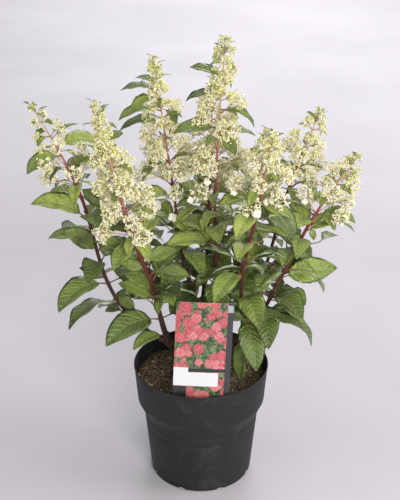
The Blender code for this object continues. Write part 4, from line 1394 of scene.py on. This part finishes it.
def make_label():
    """The label: a card with rounded corners on a tapering stake, leaned back a little and slightly bowed."""
    bm = bmesh.new()
    grain = bm.loops.layers.uv.new("grain")
    lay = lain(CARD_WIDTH / 2, CARD_TALL)
    bmesh.ops.create_grid(bm, x_segments=1, y_segments=1, size=1.0, matrix=lay)
    bevel(bm, bm.verts[:], CARD_CORNER, 5, "VERTICES")
    for i in range(1, CARD_STRIPS):
        cut = (CARD_WIDTH * (i / CARD_STRIPS - 0.5), 0.0, 0.0)
        parts = bm.verts[:] + bm.edges[:] + bm.faces[:]
        bmesh.ops.bisect_plane(bm, geom=parts, plane_co=cut, plane_no=(1, 0, 0), dist=1e-6)
    for face in bm.faces:
        for loop in face.loops:
            loop[grain].uv = (loop.vert.co.x / CARD_WIDTH + 0.5, loop.vert.co.y / CARD_TALL)
    stake = bmesh.ops.create_grid(bm, x_segments=2, y_segments=8, size=0.5)["verts"]
    for vert in stake:
        share = 0.5 - vert.co.y
        vert.co.x *= between(STAKE_WIDTH, share)
        vert.co.y = -share * (CARD_FOOT - SOIL_HEIGHT + STAKE_DEPTH)
    bmesh.ops.solidify(bm, geom=bm.faces[:], thickness=CARD_THICKNESS)
    bmesh.ops.recalc_face_normals(bm, faces=bm.faces)
    middle = sum(vert.co.z for vert in bm.verts) / len(bm.verts)
    for face in bm.faces:
        face.material_index = 0 if face.normal.z > 0.5 and face.calc_center_median().y > 0.0 else 1
    for vert in bm.verts:
        vert.co.z += CARD_BOW * (1.0 - (2.0 * vert.co.x / CARD_WIDTH) ** 2) - middle
    lean = Matrix.Rotation(math.pi / 2 - CARD_LEAN, 4, "X")
    pivot = Matrix.Translation((0.0, CARD_TALL / 2, 0.0))
    tilt = pivot @ Matrix.Rotation(CARD_TILT, 4, "Z") @ pivot.inverted()
    stand = Matrix.Translation((CARD_CENTRE_X, CARD_FRONT_Y, CARD_FOOT)) @ lean @ tilt
    bmesh.ops.transform(bm, matrix=stand, verts=bm.verts)
    settle(finished(bm, "label_card", [label_print(), label_plastic()], 35), "label", "label")


def make_old_wood(growths):
    """The old wood: a flared stump, limbs, knuckles and cane stubs grown together under cracked bark."""
    wood = Gathering()
    thick = rod_shape(WOOD_SIDES, WOOD_RINGS)

    def branch(path, length, radius_at):
        wood.add(thick, along_path(thick, path, 0.0, length, radius_at))

    def stump_radius(s):
        flare = math.exp(-s / ROOT_FLARE_HEIGHT) * (ROOT_FLARE_RADIUS - STUMP_RADIUS)
        return STUMP_RADIUS * (1.0 - STUMP_TAPER * s / STUMP_HEIGHT) + flare

    base = UP * (SOIL_HEIGHT - STUMP_SUNK)
    top = base + Vector((0.0, 0.002, STUMP_HEIGHT + STUMP_SUNK))
    rise = Path([base, base + UP * (STUMP_HEIGHT / 2), top], UP, WOOD_STEPS)
    branch(rise, rise.length, stump_radius)
    ball = bmesh.new()
    bmesh.ops.create_icosphere(ball, subdivisions=2, radius=KNUCKLE_RADIUS)
    knuckle = Shape(ball)
    for limb in LIMBS:
        path = limb_path(limb)
        branch(path, path.length, lambda s: between(LIMB_RADIUS, s / path.length))
        fork = Matrix.Translation(polar(limb.bearing, limb.reach, limb.height))
        wood.add(knuckle, placed(knuckle, fork))
    for growth in growths:
        branch(growth.path, STUB_LENGTH, lambda s: growth.radius(s) * STUB_STOUTNESS)
    piece = wood.piece("old_wood", [])
    blend = piece.modifiers.new("grown together", "REMESH")
    blend.mode = "VOXEL"
    blend.voxel_size = BARK_VOXEL
    applied(piece)
    bm = bmesh.new()
    bm.from_mesh(piece.data)
    axes = {"use_axis_x": True, "use_axis_y": True, "use_axis_z": True}
    for _ in range(3):
        bmesh.ops.smooth_vert(bm, verts=bm.verts, factor=0.5, **axes)
    bm.normal_update()
    for vert in bm.verts:
        ridges = noise.fractal(vert.co * RIDGE_SCALE, 0.8, 2.0, 3)
        vert.co += vert.normal * (BARK_RIDGE * ridges + BARK_BURL * noise.noise(vert.co * BURL_SCALE))
    bm.to_mesh(piece.data)
    bm.free()
    piece.data.shade_smooth()
    piece.data.materials.append(bark())
    settle(piece, "old_wood", "trunk")


def make_stem(growth, skin):
    """A cane from its stub to the tip of its cone, swollen at its nodes."""
    path, neck = growth.path, growth.neck
    joints = [(s, NODE_SWELL) for s in growth.pair_places()]
    joints += [(s, TIER_SWELL) for s, _ in growth.tier_places()]
    joints.append(STUB_SWELL)

    def radius_at(s):
        swell = sum(size * math.exp(-(((s - joint) / NODE_LENGTH) ** 2)) for joint, size in joints)
        young = min(max(0.0, s - neck) / growth.cone * SLIMMING, 1.0)
        return growth.radius(s) * (1.0 + swell) * between(SLIMNESS, young)

    start = STUB_LENGTH * STEM_START
    rod = rod_shape(STEM_SIDES, int((path.length - start) / STEM_RING))
    s = start + (path.length - start) * rod.points[:, 2]
    ripe = NECK_AGE * (s / neck) ** (1.0 / YOUTH.get(growth.cane.name, 1.0))
    age = np.where(s < neck, ripe, NECK_AGE + (1.0 - NECK_AGE) * (s - neck) / growth.cone)
    stem = Gathering()
    stem.add(rod, along_path(rod, path, start, path.length, radius_at), age=age)
    settle(stem.piece("stem_" + growth.cane.name, [skin]), "cane", "cane_" + growth.cane.name)


def blade_points(shape, leaf, twist, sweep, ripple):
    """The flat blade bent along its leaf's drooping midrib, with a twist, sweep and waviness of its own."""
    v, u, rise = shape.points.T
    out = np.array((math.cos(leaf.azimuth), math.sin(leaf.azimuth), 0.0))
    up = np.array(UP)
    bend = leaf.droop / leaf.length
    pitch = (leaf.lift - leaf.droop * u)[:, None]
    along = (math.sin(leaf.lift) - np.sin(pitch)) / bend
    climb = (np.cos(pitch) - math.cos(leaf.lift)) / bend
    foot = np.array(leaf.root) + (out * math.cos(leaf.lift) + up * math.sin(leaf.lift)) * leaf.petiole
    normal = up * np.cos(pitch) - out * np.sin(pitch)
    level = np.cross(out, up)
    roll = (leaf.roll + twist * u)[:, None]
    side = np.cos(roll) * level - np.sin(roll) * normal
    upper = np.cos(roll) * normal + np.sin(roll) * level
    belly = np.maximum(np.sin(math.pi * u ** BELLY_PLACE), 0.0) ** BELLY_FULLNESS
    half = 0.5 * BLADE_BREADTH * leaf.width * belly
    away = np.abs(v)
    fold = half * away * math.sin(LEAF_FOLD) * (1.25 - 0.50 * away)
    waves = np.sin(math.tau * (2.3 * u + 21.0 * ripple) + v) * v ** 2
    wave = ripple * leaf.length * waves * np.sin(math.pi * u)
    sweeping = sweep * leaf.length * u ** 2 * (1.0 - u * 0.3)
    aside = (v * half * math.cos(LEAF_FOLD) + sweeping)[:, None] * side
    return foot + out * along + up * climb + aside + (fold + wave + rise * leaf.length)[:, None] * upper


def add_leaf(foliage, shape, leaf, green, rng):
    """Adds a leaf: its blade and its stalk."""
    twist = rng.uniform(-LEAF_TWIST, LEAF_TWIST)
    sweep = rng.uniform(-LEAF_SWEEP, LEAF_SWEEP)
    ripple = rng.uniform(*LEAF_RIPPLE)
    foliage.add(shape, blade_points(shape, leaf, twist, sweep, ripple), (green, UNDERSIDE))
    out = Vector((math.cos(leaf.azimuth), math.sin(leaf.azimuth), 0.0))
    lifted = out * math.cos(leaf.lift) + UP * math.sin(leaf.lift)
    radius = PETIOLE_RADIUS * min(leaf.length / STOUT_LEAF, 1.0)
    neck = leaf.root + lifted * leaf.petiole + lifted * leaf.length * PETIOLE_OVERLAP
    radii = [radius * share for share in PETIOLE_TAPER]
    foliage.add(STALK, stick(STALK, leaf.root, neck, radii), (PETIOLE,))


def rank(place, steps):
    """How many of the steps a place has reached."""
    return sum(place >= step for step in steps)


def pick_green(share, rng):
    """Deeper greens low on the plant, lighter ones towards the blossom."""
    return rank(share + rng.uniform(-GREEN_STRAY, GREEN_STRAY), GREEN_STEPS)


def add_shoots(foliage, shape, growth, s, turn, share, rng):
    """Adds the short leafy shoots that fork from a cane at one place."""
    tangent = growth.path.tangent(s)
    first = growth.path.at(s)
    for half in range(2):
        if rng.random() > SHOOTS[growth.cane.name]:
            continue
        angle = math.radians(growth.cane.turn) + turn + math.pi * half
        angle += rng.uniform(-SHOOT_STRAY, SHOOT_STRAY)
        direction = (across(tangent, angle) * SHOOT_OUT + tangent * rng.uniform(*SHOOT_RISE)).normalized()
        last = first + direction * rng.uniform(*SHOOT_LENGTH)
        foliage.add(STALK, stick(STALK, first, last, SHOOT_RADII), (PETIOLE,))
        azimuth = math.atan2(direction.y, direction.x)
        for fork in range(rng.choice(SHOOT_FORKS)):
            length = rng.uniform(*SHOOT_LEAF) * (LATER_LEAF if fork > 1 else 1.0)
            bearing = azimuth + (SHOOT_FAN if fork % 2 else -SHOOT_FAN)
            bearing += rng.uniform(-SHOOT_LEAF_STRAY, SHOOT_LEAF_STRAY)
            if math.sin(bearing) < FACING_FRONT and rng.random() < FRONT_THINNING:
                continue
            leaf = Leaf(
                root=first.lerp(last, FORK_PLACES[fork]),
                azimuth=bearing,
                lift=math.radians(rng.uniform(*SHOOT_LIFT)),
                droop=math.radians(rng.uniform(*SHOOT_DROOP)),
                roll=rng.uniform(-SHOOT_LEAF_STRAY, SHOOT_LEAF_STRAY),
                length=length,
                width=length * rng.uniform(*SHOOT_SLENDERNESS),
                petiole=length * SHOOT_PETIOLE,
            )
            add_leaf(foliage, shape, leaf, pick_green(share, rng), rng)


def set_leaf(growth, share, bearing, lift, droop, roll, length):
    """A leaf of a side shoot by its own settings, in the units of their table."""
    root = growth.path.at(share * growth.path.length)
    angles = (math.radians(angle) for angle in (bearing, lift, droop, roll))
    length = length / 1000.0
    return Leaf(root, *angles, length, length * SPRAY_SLENDERNESS, length * SPRAY_PETIOLE + 0.002)


def make_foliage(growth, blades, finishes):
    """The leaves of a cane: its pairs, the bracts and leaflets of its cone, and short shoots in its axils."""
    cane = growth.cane
    foliage = Gathering()
    large, small = blades
    rng = random.Random("looks of leaves " + cane.name)
    for leaf, share in grow_leaves(growth):
        add_leaf(foliage, large, leaf, pick_green(share, rng), rng)
    for leaf in grow_bracts(growth):
        add_leaf(foliage, large, leaf, pick_green(BRACT_PLACE, rng), rng)
    for *settings, green in SET_SPRAYS.get(cane.name, ()):
        leaf = set_leaf(growth, *settings)
        add_leaf(foliage, large if leaf.length > LARGE_LEAF else small, leaf, green, rng)
    places = growth.pair_places()
    step = (places[1] - places[0]) / 2
    for i in range(2 * len(places)):
        s = places[0] + step * (i - 1)
        if s > SHOOT_FREE:
            add_shoots(foliage, small, growth, s, i * math.pi / 4, SHOOT_PLACE * i / len(places), rng)
    for tier, (s, share) in enumerate(growth.tier_places()):
        length = between(LEAFLET_LENGTH, share)
        turn = math.radians(cane.turn + LEAFLET_TURN + 90.0 * tier)
        for leaf in leaf_pair(growth, s, turn, length, LEAFLET_SLENDERNESS, rng):
            add_leaf(foliage, small, leaf, 3 if rng.random() < LIME_LEAFLETS else 2, rng)
    for i in range(TIP_LEAFLETS):
        s = growth.path.length - TIP_LEAFLET_START - TIP_LEAFLET_STEP * i
        length = TIP_LEAFLET_LENGTH + TIP_LEAFLET_GROWTH * i
        leaf = leaf_pair(growth, s, GOLDEN_TURN * i, length, TIP_LEAFLET_SLENDERNESS, rng)[0]
        leaf = leaf._replace(lift=TIP_LEAFLET_LIFT, droop=TIP_LEAFLET_DROOP)
        add_leaf(foliage, small, leaf, 3, rng)
    piece = foliage.piece("foliage_" + cane.name, finishes)
    settle(piece, "foliage", "leaves_" + cane.name, "panicle_" + cane.name)


class Blossom:
    """The buds, florets and fine twigs of one cone, gathered as they grow."""

    def __init__(self, growth):
        self.growth = growth
        self.rng = random.Random("buds " + growth.cane.name)
        self.twigs = Gathering()
        self.florets = Gathering()
        self.buds = []

    def anyway(self):
        """A direction drawn evenly from all."""
        z = self.rng.uniform(-1.0, 1.0)
        turn = self.rng.uniform(0.0, math.tau)
        flat = math.sqrt(1.0 - z * z)
        return Vector((flat * math.cos(turn), flat * math.sin(turn), z))

    def twig(self, first, last, radii, tone):
        """A fine straight twig."""
        self.twigs.add(SPRIG_ROD, stick(SPRIG_ROD, first, last, radii), (tone,))

    def cyme(self, origin, tip, outward, size, bud_radius, tone):
        """A little bunch of buds on its forked stalks at a branchlet's tip."""
        rng = self.rng
        for _ in range(CYME_STALKS):
            towards = (outward + self.anyway() * CYME_STRAY).normalized()
            crown = tip + towards * size * rng.uniform(*CYME_REACH)
            self.twig(origin, crown, BUD_TWIG, SPRIG)
            for _ in range(rng.choice(CYME_BUDS)):
                way = (towards + self.anyway() * BUD_STRAY).normalized()
                centre = crown + way * bud_radius * rng.uniform(*BUD_REACH)
                radius = bud_radius * rng.uniform(*BUD_SPREAD)
                own = tone if rng.random() < TONE_SHARE else rng.randrange(BUD_TONES)
                self.buds.append((centre, radius, own))

    def cluster(self, cluster, fullness, florets=True):
        """A cluster: branchlets fan from its twig into a dome, each with its bunch of buds."""
        rng = self.rng
        root, heart, radius, share = cluster
        turn = (heart - root).normalized().to_track_quat("Z", "Y").to_matrix()
        bud_radius = between(BUD_RADIUS, share)
        self.twig(root, heart, CLUSTER_TWIG, TWIG)
        count = round(BRANCHLETS * fullness * (radius / CLUSTER_RADIUS[0]) ** BRANCHLET_CROWDING)
        count = max(FEWEST_BRANCHLETS, count)
        start = rng.uniform(0.0, math.tau)
        for i in range(count):
            cosine = 1.0 - DOME_DEPTH * (i + 0.5) / count
            flat = math.sqrt(1.0 - cosine * cosine)
            angle = start + i * GOLDEN_TURN
            local = Vector((flat * math.cos(angle), flat * math.sin(angle), cosine * CLUSTER_FLATNESS))
            towards = turn @ local
            foot = root.lerp(heart, rng.uniform(*BRANCHLET_FORK))
            tip = heart + towards * radius * rng.uniform(*BRANCHLET_REACH)
            self.twig(foot, tip, BRANCHLET_TWIG, TWIG if rng.random() < ROSY_SHARE else SPRIG)
            tone = self.pick_tone(share)
            fork = foot.lerp(tip, CYME_FORK)
            self.cyme(fork, tip, towards.normalized(), radius * CYME_SIZE, bud_radius, tone)
        if florets and share < STERILE_BELOW and rng.random() < STERILE_CHANCE:
            for _ in range(rng.choice((1, 1, 2))):
                way = Vector((rng.uniform(-1, 1), rng.uniform(-1, 1), rng.uniform(-0.6, 0.5)))
                towards = (turn @ way).normalized()
                place = heart + towards * radius * STERILE_REACH
                self.twig(heart, place, STERILE_TWIG, SPRIG)
                self.floret(place, towards, SEPAL_LENGTH * rng.uniform(*STERILE_SPREAD))

    def half_way(self):
        """Small sprays between the tiers of the cone, close to its stem."""
        rng = self.rng
        growth = self.growth
        wide = SPRAY_REACH.get(growth.cane.name, 1.0)
        tiers = growth.tier_places()
        ends = tiers[1:] + [(growth.path.length - HALF_WAY_END, 1.0)]
        for tier, ((s, share), (later, _)) in enumerate(zip(tiers, ends)):
            middle = (s + later) / 2
            root = growth.path.at(middle)
            tangent = growth.path.tangent(middle)
            for twig in range(HALF_WAY_TWIGS):
                if rng.random() > SPRAYS.get(growth.cane.name, 1.0):
                    continue
                turn = (tier + 0.5) * TIER_TURN + math.tau * (twig + 0.5) / HALF_WAY_TWIGS
                turn += rng.uniform(-HALF_WAY_STRAY, HALF_WAY_STRAY)
                reach = wide * rng.uniform(*HALF_WAY_REACH) * cone_width(share)
                heart = root + across(tangent, turn) * reach + tangent * reach * rng.uniform(*HALF_WAY_RISE)
                radius = between(CLUSTER_RADIUS, share) * HALF_WAY_SIZE
                self.cluster(Cluster(root, heart, radius, share + HALF_WAY_PLACE), 1.0, False)

    def set_cluster(self, share, bearing, lift, reach, radius, florets):
        """A bright low cluster by its own settings, in the units of their table, with its sterile florets."""
        root = self.growth.path.at(share * self.growth.path.length)
        heart = root + heading(bearing, lift) * reach / 1000.0
        cluster = Cluster(root, heart, radius / 1000.0, SET_CLUSTER_PLACE)
        self.cluster(cluster, SET_CLUSTER_FULLNESS, False)
        for turn, rise, away, size in florets:
            towards = heading(turn, rise)
            place = heart + towards * away / 1000.0
            self.twig(heart, place, SET_STERILE_TWIG, SPRIG)
            facing = (towards + heading(-90.0, 35.0) * 1.4).normalized()
            self.floret(place, facing, size / 1000.0)

    def pick_tone(self, share):
        """Creamier low in the cone, greener at its tip."""
        return rank(share + self.rng.uniform(-TONE_STRAY, TONE_STRAY), TONE_STEPS)

    def floret(self, place, towards, size):
        """A sterile floret of cupped sepals."""
        facing = towards.to_track_quat("Z", "Y").to_matrix().to_4x4()
        start = self.rng.uniform(0.0, math.pi)
        for i in range(SEPALS):
            spun = Matrix.Rotation(start + i * math.tau / SEPALS, 4, "Z")
            turn = Matrix.Translation(place) @ facing @ spun @ Matrix.Scale(size, 4)
            self.florets.add(SEPAL, placed(SEPAL, turn), (STERILE,))

    def gather_buds(self):
        """Turns the drawn buds into copies of the bud, some of them open."""
        centres, radii, tones = (np.array(values) for values in zip(*self.buds))
        turns = np.array([self.anyway().to_track_quat("Z", "Y").to_matrix() for _ in range(BUD_TURNS)])
        mine = turns[np.arange(len(centres)) % BUD_TURNS]
        opened = np.array([self.rng.random() < OPEN_SHARE for _ in centres])
        for shape, chosen in ((BUD, ~opened), (STAR, opened)):
            local = np.einsum("kij,pj->kpi", mine[chosen], shape.points)
            points = centres[chosen, None] + local * radii[chosen, None, None]
            self.florets.add_many(shape, points, tones[chosen, None])


def make_cone(growth, bud_finishes, twig_finishes):
    """A cone of blossom as two pieces: its buds and florets, and its fine twigs."""
    name = growth.cane.name
    blossom = Blossom(growth)
    for cluster in grow_clusters(growth):
        fullness = between(FULLNESS.get(name, (1.0, 1.0)), cluster.share)
        if cluster.share < 1.0:
            reach = max(fullness, 1.0) * (1.0 - TIP_GATHERING * cluster.share ** 2)
            cluster = cluster._replace(heart=cluster.root.lerp(cluster.heart, reach))
        fullness *= 1.0 - TIP_THINNING * cluster.share ** 3
        blossom.cluster(cluster._replace(radius=cluster.radius * fullness), fullness)
    blossom.half_way()
    if name in SET_CLUSTERS:
        blossom.set_cluster(*SET_CLUSTERS[name])
    blossom.gather_buds()
    settle(blossom.florets.piece("blossom_" + name, bud_finishes), "blossom", "panicle_" + name)
    settle(blossom.twigs.piece("blossom_twigs_" + name, twig_finishes), "blossom", "panicle_" + name)


# The plant

STALK = rod_shape(6, 2)
SPRIG_ROD = rod_shape(3, 2)
BUD = bud_shape()
STAR = star_shape()
SEPAL = sepal_shape()

make_pot()
make_soil()
make_crumbs()
make_label()
growths = [Growth(cane) for cane in CANES]
make_old_wood(growths)
skin = cane_skin()
blades = (blade_shape(4, 8, 0.0075), blade_shape(1, 4, 0.0060))
leaf_finishes = [
    leaf_skin("leaf_deep", (56, 80, 26), (104, 132, 50), (198, 212, 130)),
    leaf_skin("leaf_green", (76, 104, 30), (138, 164, 58), (214, 226, 146)),
    leaf_skin("leaf_fresh", (102, 132, 36), (166, 190, 70), (226, 236, 160)),
    leaf_skin("leaf_lime", (138, 166, 44), (198, 212, 90), (238, 242, 172)),
    leaf_underside(),
    mottled(
        "petiole_skin", (124, 62, 52), (136, 112, 66), (70.0, 3.0), (0.38, 0.62), (900.0, 3.0), 0.0003, 0.5,
        Roughness=0.5,
    ),
]
bud_finishes = [
    petal("bud_cream", (250, 244, 210), (255, 251, 230)),
    petal("bud_butter", (246, 238, 180), (253, 247, 206)),
    petal("bud_lime", (230, 230, 150), (244, 242, 178)),
    petal("bud_green", (180, 196, 100), (210, 218, 132)),
    petal("sterile_sepal", (248, 241, 224), (254, 251, 240)),
]
twig_finishes = [
    petal("rosy_twig", (198, 146, 122), (216, 176, 144)),
    petal("pale_sprig", (232, 222, 168), (244, 237, 192)),
]
for growth in growths:
    make_stem(growth, skin)
    make_foliage(growth, blades, leaf_finishes)
    make_cone(growth, bud_finishes, twig_finishes)

# The studio


def make_floor():
    """A wide pale floor of faintly uneven paper."""
    paper = mottled(
        "studio_paper", (204, 200, 206), (212, 208, 214), (1.7, 3.0), (0.30, 0.70), (260.0, 2.0), 0.0002, 0.3,
        Roughness=0.9, Specular_IOR_Level=0.2,
    )
    bm = bmesh.new()
    bmesh.ops.create_circle(bm, cap_ends=True, radius=15.0, segments=96)
    floor = finished(bm, "studio_floor", [paper])


def area_light(name, place, target, size, power, colour=WHITE):
    """A soft square light that looks at a target."""
    light = bpy.data.lights.new(name, "AREA")
    light.shape = "SQUARE"
    light.size = size
    light.energy = power
    light.color = linear(colour)[:3]
    lamp = bpy.data.objects.new(name, light)
    lamp.location = place
    lamp.rotation_euler = (Vector(target) - Vector(place)).to_track_quat("-Z", "Y").to_euler()
    lamp.visible_camera = False
    bpy.context.scene.collection.objects.link(lamp)


def make_studio():
    """The camera at the photograph's angle, the soft lights and the pale surroundings."""
    make_floor()
    camera = bpy.data.cameras.new("camera")
    camera.sensor_width = 36.0
    camera.lens = 79.2
    camera.shift_x = -0.002
    view = bpy.data.objects.new("camera", camera)
    view.location = (0.0, -1.6187, 1.2006)
    view.rotation_euler = (math.radians(64.3), 0.0, 0.0)
    bpy.context.scene.collection.objects.link(view)
    bpy.context.scene.camera = view
    area_light("front", (0.7, -2.6, 1.3), (0.0, 0.0, 0.35), 1.4, 66.0, (255, 254, 250))
    area_light("side", (2.4, -0.4, 2.4), (0.0, 0.0, 0.40), 1.6, 31.0, (255, 253, 250))
    area_light("top", (0.2, 0.4, 3.0), (0.0, 0.2, 0.20), 2.0, 13.0)
    area_light("rear", (0.5, 2.2, 1.9), (0.3, 2.3, 0.0), 1.8, 19.0)
    area_light("backdrop", (0.5, 4.6, 2.6), (0.3, 3.5, 0.0), 2.4, 91.0)
    world = bpy.data.worlds.new("surroundings")
    world.use_nodes = True
    sky = world.node_tree.nodes["Background"].inputs
    sky["Color"].default_value = linear((236, 237, 242))
    sky["Strength"].default_value = 0.33
    bpy.context.scene.world = world
    bpy.context.scene.view_settings.view_transform = "Standard"


make_studio()
